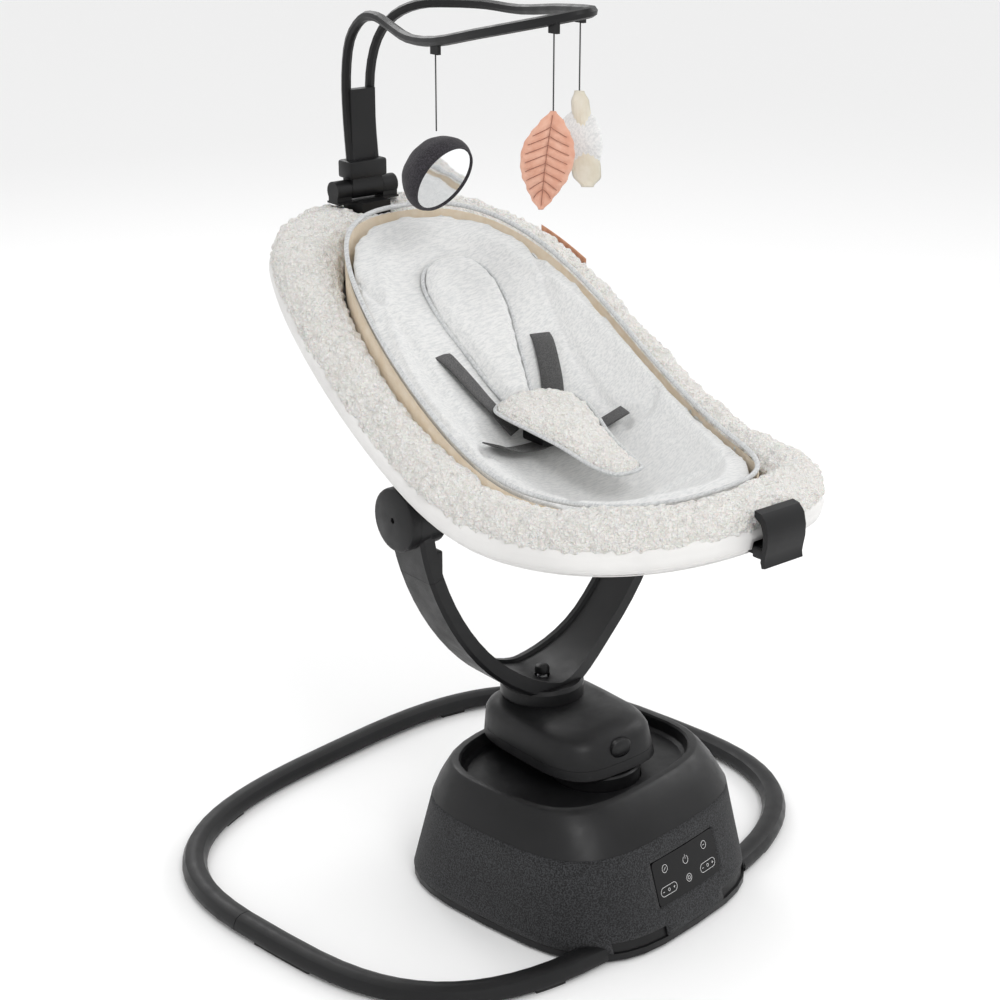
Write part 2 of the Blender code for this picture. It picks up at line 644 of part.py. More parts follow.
def fork_place(turn):
    x = FORK_HALF_X * signed_power(math.sin(turn), 2.0 / FORK_POWER)
    z = HUB_Z - FORK_DEPTH * signed_power(math.cos(turn), 2.0 / FORK_POWER)
    return Vector((x, HUB_Y, z))


def fork_section(turn, channel):
    """One ring of the band: flat outside, with a shallow channel inside."""
    place = fork_place(turn)
    along = (fork_place(turn + 0.01) - fork_place(turn - 0.01)).normalized()
    inwards = Vector((-along.z, 0.0, along.x))
    part = smooth_step(abs(place.x) / 0.10)
    half = lerp(FORK_HALF_WIDE, FORK_HALF_NARROW, part)
    thick = lerp(FORK_THICK_LOW, FORK_THICK_HIGH, smooth_step(abs(place.x) / 0.17))
    edge = half - CHANNEL_EDGE
    outline = ((-half + 0.004, 0.0), (half - 0.004, 0.0), (half, 0.004), (half, thick), (edge, thick),
               (edge - 0.002, thick - channel), (-edge + 0.002, thick - channel), (-edge, thick),
               (-half, thick), (-half, 0.004))
    return [place + inwards * depth + Vector((0.0, across, 0.0)) for across, depth in outline]


def fork_band(name, start, end, steps, channel):
    turns = (lerp(start, end, step / steps) for step in range(steps + 1))
    return skin(name, [fork_section(turn, channel) for turn in turns], "black_plastic")


def make_fork():
    top = fork_turn(FORK_SEAM_Z)
    fork = fork_band("fork", -top, top, 28, CHANNEL_DEPTH)
    collar = turned("collar", ((0.0, COLLAR_TOP), (COLLAR_RADIUS - 0.003, COLLAR_TOP),
                               (COLLAR_RADIUS, COLLAR_TOP - 0.004), (COLLAR_RADIUS, COLLAR_LOW),
                               (0.0, COLLAR_LOW)), "black_plastic", steps=36)
    bore = rod("spindle_bore", (0.0, 0.0, COLLAR_LOW - 0.01), (0.0, 0.0, BORE_TOP),
               SPINDLE_RADIUS + GAP, "black_plastic", 32)
    well = rod("button_well", (0.0, 0.0, COLLAR_TOP - 0.005), (0.0, 0.0, 0.245),
               SWIVEL_BUTTON_RADIUS + SLIP, "black_plastic")
    cut(fuse(fork, collar), bore, well)
    low, top, radius = SWIVEL_BUTTON_LOW, SWIVEL_BUTTON_TOP, SWIVEL_BUTTON_RADIUS
    dome = ((0.0, top), (0.45 * radius, top - 0.0005), (0.85 * radius, top - 0.0025),
            (radius, top - 0.0055), (radius, low), (0.0, low))
    turned("swivel_button", dome, "black_plastic", steps=24)
    make_spring()


def make_spring():
    low, high = SPINDLE_TOP + SPRING_WIRE + GAP, SWIVEL_BUTTON_LOW - SPRING_WIRE - GAP
    steps = SPRING_TURNS * 10
    points = []
    for step in range(steps + 1):
        turn = 2.0 * math.pi * step / 10
        points.append((SPRING_RADIUS * math.cos(turn), SPRING_RADIUS * math.sin(turn),
                       lerp(low, high, step / steps)))
    wire("swivel_spring", points, SPRING_WIRE, "steel", resolution=0)


def make_arm(side, sign):
    """A plug-in upper arm with its hub boss, and the cap whose pin the seat turns on."""
    start, end = fork_turn(FORK_SEAM_Z + GAP), fork_turn(0.452)
    arm = fork_band(f"upper_arm_{side}", sign * start, sign * end, 8, 0.0)
    boss = rod(f"arm_boss_{side}", (sign * ARM_HUB_IN, HUB_Y, HUB_Z), (sign * ARM_HUB_OUT, HUB_Y, HUB_Z),
               HUB_RADIUS, "black_plastic", 32)
    low, high = sorted((sign * LATCH_IN, sign * LATCH_OUT))
    latch = box(f"arm_latch_{side}", (low, HUB_Y - 0.0285, FORK_SEAM_Z + 0.008),
                (high, HUB_Y + 0.0100, FORK_SEAM_Z + 0.036),
                "black_plastic", 0.002)
    relief = rod(f"arm_relief_{side}", (sign * 0.130, HUB_Y, HUB_Z), (sign * ARM_HUB_IN, HUB_Y, HUB_Z),
                 HUB_RADIUS + SLIP, "black_plastic", 32)
    bore = rod(f"arm_bore_{side}", (sign * 0.130, HUB_Y, HUB_Z), (sign * 0.230, HUB_Y, HUB_Z),
               PIN_RADIUS + GAP, "black_plastic")
    cut(fuse(arm, boss, latch), relief, bore)
    far = CAP_OUT - ARM_HUB_OUT - GAP
    pin = ARM_HUB_OUT + GAP - BRACKET_IN
    cap = ((0.0, far), (HUB_RADIUS - 0.004, far), (HUB_RADIUS - 0.001, far - 0.0015),
           (HUB_RADIUS, far - 0.004), (HUB_RADIUS, 0.0), (PIN_RADIUS, 0.0), (PIN_RADIUS, -pin), (0.0, -pin))
    obj = turned(f"hub_cap_{side}", cap, "black_plastic", (sign * (ARM_HUB_OUT + GAP), HUB_Y, HUB_Z),
                 (sign, 0.0, 0.0), 32)
    socket = rod(f"cap_screw_{side}", (sign * (CAP_OUT - 0.002), HUB_Y, HUB_Z),
                 (sign * (CAP_OUT + 0.004), HUB_Y, HUB_Z), 0.0035, "black_plastic", 6)
    cut(obj, socket)


def make_hub_bracket(side, sign):
    """The seat-side disc and its upright, which carries the seat frame tube."""
    low, high = sorted((sign * BRACKET_IN, sign * BRACKET_OUT))
    disc = rod(f"hub_bracket_{side}", (sign * BRACKET_IN, HUB_Y, HUB_Z), (sign * BRACKET_OUT, HUB_Y, HUB_Z),
               HUB_RADIUS - 0.0015, "black_plastic", 32)
    tube_z = rim_height(HUB_Y) - FRAME_DROP
    upright = box(f"upright_{side}", (low, HUB_Y - 0.016, HUB_Z), (high, HUB_Y + 0.016, tube_z - 0.006),
                  "black_plastic")
    low, high = sorted((sign * BRACKET_IN, sign * REST_OUT))
    seat_rest = box(f"tube_rest_{side}", (low, HUB_Y - 0.010, HUB_Z + HUB_RADIUS + 0.0020),
                    (high, HUB_Y + 0.010, tube_z - 0.003), "black_plastic")
    cradle = as_mesh(frame_tube(f"cradle_{side}", FRAME_RADIUS + GAP))
    bore = rod(f"bracket_bore_{side}", (sign * 0.130, HUB_Y, HUB_Z), (sign * 0.210, HUB_Y, HUB_Z),
               PIN_RADIUS + SLIP, "black_plastic")
    cut(fuse(disc, upright, seat_rest), bore, cradle)


# ---------------------------------------------------------------- seat

def rim_height(y):
    """Height of the border's crest along the seat, low at the knees and high at the head."""
    rise = RIM_RISE * smooth_step((y - Y_LOW) / (Y_HEAD - Y_LOW))
    lift = FOOT_LIFT * max(0.0, (Y_LOW - y) / (Y_LOW - Y_FOOT)) ** 2
    return RIM_LOW + rise + lift


def rim_point(place, height, turn):
    """A point by its place from the outer outline (0) to the inner one (1), and past it to the middle (2)."""
    if place <= 1.0:
        half_x, half_y, centre = (lerp(o, i, place) for o, i in zip(RIM_OUTER, RIM_INNER))
    else:
        scale = 2.0 - place
        half_x, half_y = RIM_INNER[0] * scale, RIM_INNER[1] * scale
        centre = lerp(-0.020, RIM_INNER[2], scale)
    x, y = oval_point(half_x, half_y, centre, RIM_POWER, turn)
    lift = height(2.0 - place, y) if callable(height) else height
    return Vector((x, y, rim_height(y) + lift))


def rim_ring(place, height, steps=SEAT_STEPS):
    return [rim_point(place, height, 2.0 * math.pi * step / steps) for step in range(steps)]


def shell_depth(scale):
    """Depth of the bucket below the rim, from its edge (1) to its middle (0)."""
    return -SHELL_DROP - SHELL_DEPTH * (1.0 - scale ** 2.2)


def crest(y):
    return lerp(CREST_FOOT, CREST_HEAD, smooth_step((y + 0.265) / 0.5))


def nest_height(scale, y):
    """Height over the rim of the cushion's hollow, which is deep under the hips."""
    floor = lerp(NEST_DEEP, NEST_SHALLOW, smooth_step(y / 0.18))
    return lerp(floor, crest(y), scale ** 2)


def nest_surface(x, y):
    """World height of the cushion's hollow over a point."""
    scale = 0.0
    for _ in range(8):
        centre = lerp(-0.020, RIM_INNER[2], scale)
        total = abs(x / RIM_INNER[0]) ** RIM_POWER + abs((y - centre) / RIM_INNER[1]) ** RIM_POWER
        scale = total ** (1.0 / RIM_POWER)
    return rim_height(y) + nest_height(scale, y)


def frame_tube(name, radius):
    return wire(name, rim_ring(FRAME_PLACE, -FRAME_DROP, 40), radius, "grey_tube", cyclic=True)


def make_seat_structure():
    frame_tube("seat_frame", FRAME_RADIUS)

    edge = -BORDER_THICK - 0.0015
    top = [rim_ring(0.72, edge), rim_ring(1.0, -SHELL_DROP)]
    top += [rim_ring(2.0 - scale, shell_depth(scale)) for scale in BUCKET_SCALES]
    bottom = [rim_ring(2.0 - scale, shell_depth(scale) - SHELL_THICK) for scale in reversed(BUCKET_SCALES)]
    bottom += [rim_ring(1.0, -SHELL_DROP - SHELL_THICK), rim_ring(0.72, edge - SHELL_THICK)]
    shell = skin("seat_shell", list(reversed(top)) + list(reversed(bottom)), "grey_plastic", ends="poles")

    tuck = -BORDER_THICK - 0.0012
    wrap = ((0.0, tuck), (0.03, -0.0520), (0.15, -0.0600), (0.36, -0.0628), (0.60, -0.0636), (1.0, -0.0655))
    depths = [(2.0 - scale, shell_depth(scale) - SHELL_THICK - 0.0065) for scale in BUCKET_SCALES]
    outside = [rim_ring(place, height) for place, height in (*wrap, *depths)]
    inside = [rim_ring(0.014, tuck), rim_ring(0.05, -0.0505), rim_ring(0.17, -0.0575)]
    inside += [rim_ring(place, height + COVER_THICK) for place, height in (*wrap[3:], *depths)]
    cover = skin("seat_cover", list(reversed(inside)) + outside, "white_cloth", ends="poles")

    for side, sign in (("left", -1), ("right", 1)):
        low, high = sorted((sign * (BRACKET_IN - 0.001), sign * (REST_OUT + 0.0015)))
        for piece in (shell, cover):
            slot = box(f"{piece.name}_slot_{side}", (low, HUB_Y - 0.018, 0.460), (high, HUB_Y + 0.018, 0.550),
                       "white_cloth")
            disc_room = rod(f"{piece.name}_disc_room_{side}", (sign * BRACKET_IN, HUB_Y, HUB_Z),
                            (sign * (CAP_OUT + 0.001), HUB_Y, HUB_Z), HUB_RADIUS + SLIP, "white_cloth")
            cut(piece, slot, disc_room)
    cut(cover, box("handle_notch", (-0.0188, -0.352, 0.4790), (0.0188, -0.300, 0.4985), "white_cloth"))


def make_border():
    section = ((0.36, -BORDER_THICK), (0.06, -BORDER_THICK), (0.0, -0.026), (0.08, -0.009), (0.34, 0.0),
               (0.66, -0.002), (0.90, -0.012), (1.0, -0.025), (0.94, -BORDER_THICK), (0.66, -BORDER_THICK))
    border = skin("sherpa_border", [rim_ring(*point) for point in section], "sherpa", ends="loop")
    slot = box("bracket_slot", (-0.0206, TOY_PIVOT[0] - 0.0275, TOY_PIVOT[1] - 0.0845),
               (0.0206, TOY_PIVOT[0] + 0.0125, TOY_PIVOT[1] + 0.0255),
               "sherpa")
    cut(border, slot)


def make_cushion():
    """The removable insert: a padded nest on the shell, with a side band up to its piped edge."""
    def side_height(drop):
        return lambda scale, y: crest(y) - drop

    lift = 0.0006
    below = [rim_ring(2.0 - scale, shell_depth(scale) + lift) for scale in reversed(BUCKET_SCALES)]
    side = [rim_ring(1.06, -SHELL_DROP - 0.0025), rim_ring(1.03, -0.034), rim_ring(1.02, side_height(0.014)),
            rim_ring(1.015, side_height(0.005)), rim_ring(1.05, side_height(0.0)),
            rim_ring(1.11, side_height(0.003))]
    above = [rim_ring(2.0 - scale, nest_height) for scale in (0.78, 0.58, 0.38, 0.20, 0.08)]
    skin("insert_cushion", below + side + above, "jersey", ends="poles", smooth=60.0)


def pad(name, stations, thick, finish, height=None):
    """A soft pad along Y. Each station is (y, middle x, half width, lift over the hollow or height)."""
    rings = []
    for y, middle, half, lift in stations:
        z = height(y) if height else nest_surface(middle, y) + lift
        outline = ((-1.0, 0.3), (-0.86, 0.0), (0.0, 0.0), (0.86, 0.0), (1.0, 0.3), (1.0, 0.7),
                   (0.80, 1.0), (0.0, 1.0), (-0.80, 1.0), (-1.0, 0.7))
        rings.append([Vector((middle + across * half, y, z + up * thick)) for across, up in outline])
    return skin(name, rings, finish, smooth=60.0)


def strap(name, points, half, thick, finish):
    """A flat strap along a smooth path, held level across."""
    path = smooth_path(points, 4)
    rings = []
    for i, point in enumerate(path):
        along = (path[min(i + 1, len(path) - 1)] - path[max(i - 1, 0)]).normalized()
        across = Vector((along.y, -along.x, 0.0)).normalized()
        up = across.cross(along)
        corners = ((-half, 0.0), (half, 0.0), (half, thick), (-half, thick))
        rings.append([point + across * wide + up * high for wide, high in corners])
    return skin(name, rings, finish)


def crotch_height(y):
    """Height of the crotch pad, from its tip between the knees up over the buckle."""
    return lerp(RIM_LOW - 0.0180, rim_height(0.025) - 0.0357, smooth_step((y + 0.145) / 0.17))


def make_harness():
    pad("head_pad", ((0.045, 0.0, 0.020, 0.0040), (0.065, 0.0, 0.029, 0.0040), (0.090, 0.0, 0.038, 0.0045),
                     (0.120, 0.0, 0.049, 0.0050), (0.150, 0.0, 0.050, 0.0060), (0.172, 0.0, 0.030, 0.0070)),
        0.018, "jersey")
    for side, sign in (("left", -1), ("right", 1)):
        route = ((0.070, 0.092, 0.004), (0.067, 0.082, 0.010), (0.060, 0.066, 0.014), (0.051, 0.048, 0.0155),
                 (0.040, 0.031, 0.014), (0.030, 0.014, 0.010))
        points = [(sign * x, y, nest_surface(sign * x, y) + lift) for x, y, lift in route]
        strap(f"shoulder_strap_{side}", points, STRAP_HALF, 0.0016, "webbing")
    belt = [(x, -0.004 - 0.8 * abs(x) ** 1.5, nest_surface(x, -0.004) + lift)
            for x, lift in ((-0.095, 0.006), (-0.06, 0.006), (-0.025, 0.008), (0.0, 0.0095),
                            (0.025, 0.008), (0.06, 0.006), (0.095, 0.006))]
    strap("lap_belt", belt, STRAP_HALF, 0.0016, "webbing")
    middle = nest_surface(0.0, 0.0) + 0.0120
    box("buckle", (-0.020, -0.022, middle), (0.020, 0.014, middle + 0.013), "black_plastic", 0.003)
    pad("crotch_pad", ((0.040, 0.0, 0.022, 0.0), (0.030, 0.0, 0.046, 0.0), (0.005, 0.0, 0.056, 0.0),
                       (-0.025, 0.0, 0.050, 0.0), (-0.060, 0.0, 0.036, 0.0), (-0.110, 0.0, 0.028, 0.0),
                       (-0.140, 0.0, 0.018, 0.0)),
        0.015, "sherpa", height=crotch_height)


def make_label():
    rings = []
    for step in range(7):
        turn = math.radians(lerp(19.0, 31.0, step / 6))
        rings.append([rim_point(-0.035, -0.030, turn), rim_point(-0.035, -0.008, turn),
                      rim_point(-0.010, -0.008, turn), rim_point(-0.010, -0.030, turn)])
    skin("label_tag", rings, "copper_label")


def make_handle():
    pivot_y, pivot_z = HANDLE_PIVOT
    bracket = box("handle_bracket", (-0.018, pivot_y + 0.002, pivot_z - 0.0055),
                  (0.018, -0.3053, pivot_z + 0.0025), "black_plastic")
    knuckle = rod("handle_knuckle", (-0.018, pivot_y, pivot_z), (0.018, pivot_y, pivot_z), 0.0050,
                  "black_plastic")
    hole = rod("handle_hole", (-0.03, pivot_y, pivot_z), (0.03, pivot_y, pivot_z), 0.0020 + SLIP,
               "black_plastic")
    cut(fuse(bracket, knuckle), hole)

    front = ((-0.3440, 0.5345), (-0.3530, 0.5330), (-0.3600, 0.5260), (-0.3630, 0.5140), (-0.3630, 0.5020),
             (-0.3610, 0.4920), (-0.3600, 0.4850), (-0.3612, 0.4790), (-0.3568, 0.4780), (-0.3548, 0.4840),
             (-0.3555, 0.4920), (-0.3570, 0.5020), (-0.3565, 0.5130), (-0.3530, 0.5220), (-0.3440, 0.5285))
    rings = [[Vector((x, y, z)) for y, z in front]
             for x in (-HANDLE_HALF_X, -0.5 * HANDLE_HALF_X, 0.5 * HANDLE_HALF_X, HANDLE_HALF_X)]
    handle = skin("recline_handle", rings, "black_plastic", origin=(0.0, pivot_y, pivot_z))
    for side, sign in (("left", -1), ("right", 1)):
        low, high = sorted((sign * 0.0190, sign * (HANDLE_HALF_X - 0.001)))
        ear = box(f"handle_ear_{side}", (low, pivot_y - 0.0125, pivot_z - 0.005),
                  (high, pivot_y + 0.0045, pivot_z + 0.005),
                  "black_plastic", 0.0015)
        fuse(handle, ear)
    pin = rod("handle_pin", (-0.025, pivot_y, pivot_z), (0.025, pivot_y, pivot_z), 0.0020,
              "black_plastic", 16)
    fuse(handle, pin)


# ---------------------------------------------------------------- toy bar and toys

def make_toy_bracket():
    pivot_y, pivot_z = TOY_PIVOT
    foot = rim_height(0.313) - FRAME_DROP + FRAME_RADIUS + 0.0015
    deck = rim_height(pivot_y) + 0.0014
    post = box("toy_bar_bracket", (-0.020, pivot_y - 0.0270, foot), (0.020, pivot_y + 0.0120, deck + 0.002),
               "black_plastic")
    plate = box("bracket_deck", (-BARREL_HALF_X, pivot_y - 0.0120, deck),
                (BARREL_HALF_X, pivot_y + 0.0120, deck + 0.0022),
                "black_plastic")
    fuse(post, plate)
    for side, sign in (("left", -1), ("right", 1)):
        low, high = sorted((sign * (KNUCKLE_HALF_X + SLIP), sign * BARREL_HALF_X))
        ear = box(f"bracket_ear_{side}", (low, pivot_y - 0.0090, deck + 0.001),
                  (high, pivot_y + 0.0090, pivot_z),
                  "black_plastic")
        barrel = rod(f"bracket_barrel_{side}", (low, pivot_y, pivot_z), (high, pivot_y, pivot_z),
                     KNUCKLE_RADIUS, "black_plastic")
        fuse(post, ear, barrel)


def make_toy_bar():
    pivot_y, pivot_z = TOY_PIVOT
    route = [(x, y, pivot_z + up) for x, y, up in BAR_LEFT + BAR_RIGHT]
    bar = as_mesh(wire("toy_bar", smooth_path(route, 3), BAR_RADIUS, "black_plastic"))
    knuckle = rod("bar_knuckle", (-KNUCKLE_HALF_X, pivot_y, pivot_z), (KNUCKLE_HALF_X, pivot_y, pivot_z),
                  KNUCKLE_RADIUS, "black_plastic")
    neck = box("bar_neck", (-0.0210, pivot_y - 0.0100, pivot_z), (0.0210, pivot_y + 0.0100, pivot_z + 0.018),
               "black_plastic")
    socket = box("bar_socket", (-0.0265, pivot_y - 0.0135, pivot_z + 0.013),
                 (0.0265, pivot_y + 0.0130, pivot_z + 0.034),
                 "black_plastic", 0.003)
    web = box("bar_web", (-0.0170, pivot_y - 0.0050, pivot_z + 0.020),
              (0.0170, pivot_y + 0.0055, pivot_z + 0.1155), "black_plastic")
    fuse(bar, socket, neck, knuckle, web)
    for toy, ((x, y, up), _) in EYELETS.items():
        z = pivot_z + up
        tab = box(f"{toy}_tab", (x - 0.0022, y - TAB_HALF, z - TAB_DROP), (x + 0.0022, y + TAB_HALF, z),
                  "black_plastic")
        fuse(bar, tab)


def string_ends(toy):
    """Top and bottom of a toy's string, just under its tab."""
    (x, y, up), length = EYELETS[toy]
    top = Vector((x, y, TOY_PIVOT[1] + up - TAB_DROP - GAP))
    return top, top - Vector((0.0, 0.0, length))


def make_strings():
    for toy in EYELETS:
        top, bottom = string_ends(toy)
        steps = 18
        points = [top.lerp(bottom, step / steps) for step in range(steps + 1)]
        wire(f"{toy}_string", points, STRING_RADIUS, "webbing")


def make_mirror_toy():
    _, end = string_ends("mirror")
    centre = end + Vector((0.0, 0.0, -0.0445))
    ball = ((0.0, 0.0095), (0.038, 0.0095), (0.038, 0.012), (0.041, 0.011), (0.0435, 0.006),
            (0.042, -0.004), (0.034, -0.018), (0.020, -0.0275), (0.0, -0.030))
    turned("mirror_toy", ball, "charcoal_jersey", centre, MIRROR_FACING)
    glass = ((0.0, 0.0116), (0.0376, 0.0116), (0.0376, 0.0098), (0.0, 0.0098))
    turned("mirror", glass, "mirror_face", centre, MIRROR_FACING)


def pillow(name, top, length, widths, thick, facing, finish, lean=0.0):
    """A flat stuffed shape that hangs from its top. widths are half widths at even steps down."""
    across = Matrix.Rotation(math.radians(facing), 3, "Z") @ Vector((1.0, 0.0, 0.0))
    outwards = Matrix.Rotation(math.radians(facing), 3, "Z") @ Vector((0.0, 1.0, 0.0))
    rings = []
    for i, half in enumerate(widths):
        part = i / (len(widths) - 1)
        centre = Vector(top) + Vector((0.0, 0.0, -length * part)) + across * lean * part
        swell = thick * max(0.25, math.sin(math.pi * part)) / 2
        turns = (2.0 * math.pi * step / 12 for step in range(12))
        rings.append([centre + across * half * math.cos(t) + outwards * swell * math.sin(t) for t in turns])
    return skin(name, rings, finish, smooth=60.0)


def make_soft_toys():
    _, leaf_top = string_ends("leaf")
    pillow("leaf_toy", leaf_top - Vector((0.0, 0.0, GAP)), 0.101,
           (0.003, 0.013, 0.021, 0.026, 0.028, 0.027, 0.024, 0.018, 0.011, 0.003), 0.016, LEAF_FACING,
           "peach_cotton", -0.012)
    _, pod_top = string_ends("pod")
    pod = pillow("pod_toy", pod_top - Vector((0.0, 0.0, GAP)), 0.099,
                 (0.005, 0.009, 0.0095, 0.010, 0.011, 0.012, 0.0135, 0.015, 0.0145, 0.006), 0.022,
                 LEAF_FACING,
                 "cream_rib", 0.010)
    petal = pillow("pod_petal", pod_top - Vector((0.0, 0.0, 0.018)), 0.062,
                   (0.006, 0.018, 0.022, 0.023, 0.021, 0.008), 0.026, LEAF_FACING, "jersey", 0.004)
    fuse(pod, petal)


# ---------------------------------------------------------------- moving groups

def pivot(name, place, parent=None):
    """An empty on a joint's axis. What moves with the joint is its child."""
    empty = bpy.data.objects.new(name, None)
    empty.empty_display_size = 0.03
    PARTS.objects.link(empty)
    empty.location = Vector(place) - (world_of(parent) if parent else Vector())
    empty.parent = parent
    return empty


def world_of(empty):
    place = Vector()
    while empty:
        place += empty.location
        empty = empty.parent
    return place


def attach(empty, names):
    """Parents pieces, with their tools, to a pivot without moving them."""
    place = Matrix.Translation(-world_of(empty))
    for name in names:
        obj = bpy.data.objects[name]
        tools = [modifier.object for modifier in obj.modifiers if modifier.type == "BOOLEAN"]
        for child in (obj, *tools):
            child.parent = empty
            child.matrix_parent_inverse = place


def group_moving_pieces():
    hub = (0.0, HUB_Y, HUB_Z)
    swing = pivot("swing_pivot", (0.0, COLUMN_Y, 0.0))
    attach(swing, ("swing_post", "magnet_arm"))
    lift = pivot("height_slide", (0.0, COLUMN_Y, POST_TOP), swing)
    attach(lift, ("lift_tube", "housing_lower", "housing_upper", "swivel_spindle"))
    attach(pivot("height_button_slide", (0.0, housing_front(BUTTON_Z), BUTTON_Z), lift), ("height_button",))
    swivel = pivot("swivel_pivot", (0.0, 0.0, COLLAR_LOW), lift)
    sides = ("left", "right")
    attach(swivel, ("fork", "swivel_spring", *(f"upper_arm_{s}" for s in sides),
                    *(f"hub_cap_{s}" for s in sides)))
    attach(pivot("swivel_button_slide", (0.0, 0.0, SWIVEL_BUTTON_LOW), swivel), ("swivel_button",))
    recline = pivot("recline_pivot", hub, swivel)
    attach(recline, ("seat_frame", "seat_shell", "seat_cover", "sherpa_border", "insert_cushion", "head_pad",
                     "lap_belt", "buckle", "crotch_pad", "label_tag", "handle_bracket", "toy_bar_bracket",
                     *(f"hub_bracket_{s}" for s in sides), *(f"shoulder_strap_{s}" for s in sides)))
    attach(pivot("handle_pivot", (0.0, *HANDLE_PIVOT), recline), ("recline_handle",))
    bar = pivot("toy_bar_pivot", (0.0, *TOY_PIVOT), recline)
    attach(bar, ("toy_bar",))
    toys = {"mirror": ("mirror_toy", "mirror"), "leaf": ("leaf_toy",), "pod": ("pod_toy",)}
    for toy, pieces in toys.items():
        top, bottom = string_ends(toy)
        string = pivot(f"{toy}_string_pivot", top, bar)
        attach(string, (f"{toy}_string",))
        attach(pivot(f"{toy}_pivot", bottom, string), pieces)
    swing.rotation_euler.z = math.radians(SWING_REST)


make_base_walls()
make_top_cover()
make_electronics()
make_column()
make_hoop()
make_housing()
button_body("height_button", 0.0)
make_lift()
make_fork()
for arm_side, arm_sign in (("left", -1), ("right", 1)):
    make_arm(arm_side, arm_sign)
    make_hub_bracket(arm_side, arm_sign)
make_seat_structure()
make_border()
make_cushion()
make_harness()
make_label()
make_handle()
make_toy_bracket()
make_toy_bar()
make_strings()
make_mirror_toy()
make_soft_toys()
group_moving_pieces()
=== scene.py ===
"""The looks of a powered baby swing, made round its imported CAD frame.

Soft pieces are shaped in the seat's own upright frame, where X is across the seat, and then turned
with the swing column to its rest position. Sizes are in metres.
"""

import json
import math

import bmesh
import bpy
import numpy as np
from mathutils import Matrix, Vector, noise
from mathutils.bvhtree import BVHTree


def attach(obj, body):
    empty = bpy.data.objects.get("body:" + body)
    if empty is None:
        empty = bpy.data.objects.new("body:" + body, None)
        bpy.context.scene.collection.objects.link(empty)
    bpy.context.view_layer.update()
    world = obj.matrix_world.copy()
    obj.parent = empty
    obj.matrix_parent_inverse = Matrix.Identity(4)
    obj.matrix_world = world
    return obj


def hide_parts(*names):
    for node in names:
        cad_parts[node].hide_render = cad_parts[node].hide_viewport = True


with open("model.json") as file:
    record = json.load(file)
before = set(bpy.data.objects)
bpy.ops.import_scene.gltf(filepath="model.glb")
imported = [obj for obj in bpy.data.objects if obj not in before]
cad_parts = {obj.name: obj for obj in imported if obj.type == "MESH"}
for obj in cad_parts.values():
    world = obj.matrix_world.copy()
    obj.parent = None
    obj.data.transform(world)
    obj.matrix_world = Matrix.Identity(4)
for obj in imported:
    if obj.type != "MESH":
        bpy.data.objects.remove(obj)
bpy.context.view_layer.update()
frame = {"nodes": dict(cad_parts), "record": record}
NODES = frame["nodes"]

# Camera
CAMERA_PLACE = (-1.548, -1.367, 1.222)
CAMERA_AZIMUTH, CAMERA_ELEVATION = -47.5, 20.7
CAMERA_LENS = 72.0

# Swing column: every piece of the seat is turned about it at rest
COLUMN_Y = -0.095
SWING_REST = math.radians(-8.5)
SEAT_TURN = (Matrix.Translation((0.0, COLUMN_Y, 0.0)) @ Matrix.Rotation(SWING_REST, 4, "Z")
             @ Matrix.Translation((0.0, -COLUMN_Y, 0.0)))

# Base wall: (height, half width, half depth)
BASE_Y, BASE_POWER = -0.072, 3.3
BASE_FOOT = (0.0124, 0.160, 0.172)
BASE_WAIST = (0.1136, 0.154, 0.140)
CLOTH_THICK = 0.0016
PANEL_HALF, PANEL_LOW, PANEL_HIGH = 0.0540, 0.0435, 0.0930
INLET = (0.060, 0.034)

# Seat rim: (half width, half length, centre y) of its outer and inner outlines
RIM_OUTER = (0.212, 0.3565, 0.0185)
RIM_INNER = (0.158, 0.2635, -0.0015)
RIM_POWER = 2.5
RIM_LOW, RIM_RISE, FOOT_LIFT = 0.523, 0.197, 0.028
Y_LOW, Y_HEAD, Y_FOOT = -0.150, 0.360, -0.360
BORDER_THICK = 0.040
BUCKET_SCALES = (0.84, 0.60, 0.32, 0.12)
SHELL_THICK, COVER_THICK = 0.003, 0.0025
SHELL_DROP, SHELL_DEPTH = 0.047, 0.047
CREST_FOOT, CREST_HEAD = -0.004, 0.026
NEST_DEEP, NEST_SHALLOW = -0.066, -0.016
HUB_Y = 0.008
BRACKET_SLOT = (0.0206, 0.3055, 0.3455)  # half width, and where it starts and ends along Y
PIPING = 0.0022
STRAP_HALF, STRAP_THICK = 0.0125, 0.0016
HEAD_PAD_THICK, CROTCH_PAD_THICK = 0.015, 0.012
SEAT_STEPS = 96
CLOTH_FRAMES = 20  # how long each padded piece swells for

# Toys: the top of each string, its length, and how the toy hangs
STRINGS = {
    "mirror": ((-0.0560, 0.1150, 0.9172), 0.080),
    "leaf": ((-0.0320, -0.0480, 0.9537), 0.076),
    "pod": ((0.0200, -0.0280, 0.9582), 0.068),
}
STRING_RADIUS = 0.0008
MIRROR_DROP = 0.0445
MIRROR_FACING = (0.15, -0.89, -0.44)
TOY_FACING = math.radians(-50.0)
LEAF_LENGTH, LEAF_THICK, LEAF_LEAN = 0.101, 0.016, -0.012
LEAF_WIDTHS = (0.003, 0.013, 0.021, 0.026, 0.028, 0.027, 0.024, 0.018, 0.011, 0.003)
POD_LENGTH, POD_THICK, POD_LEAN = 0.099, 0.021, 0.010
POD_WIDTHS = (0.005, 0.009, 0.0095, 0.010, 0.011, 0.012, 0.0135, 0.015, 0.0145, 0.006)
PETAL_DROP, PETAL_LENGTH, PETAL_THICK, PETAL_LEAN = 0.018, 0.062, 0.026, 0.004
PETAL_WIDTHS = (0.006, 0.018, 0.022, 0.023, 0.021, 0.008)


# ---------------------------------------------------------------- numbers and outlines

def lerp(low, high, part):
    return low + (high - low) * part


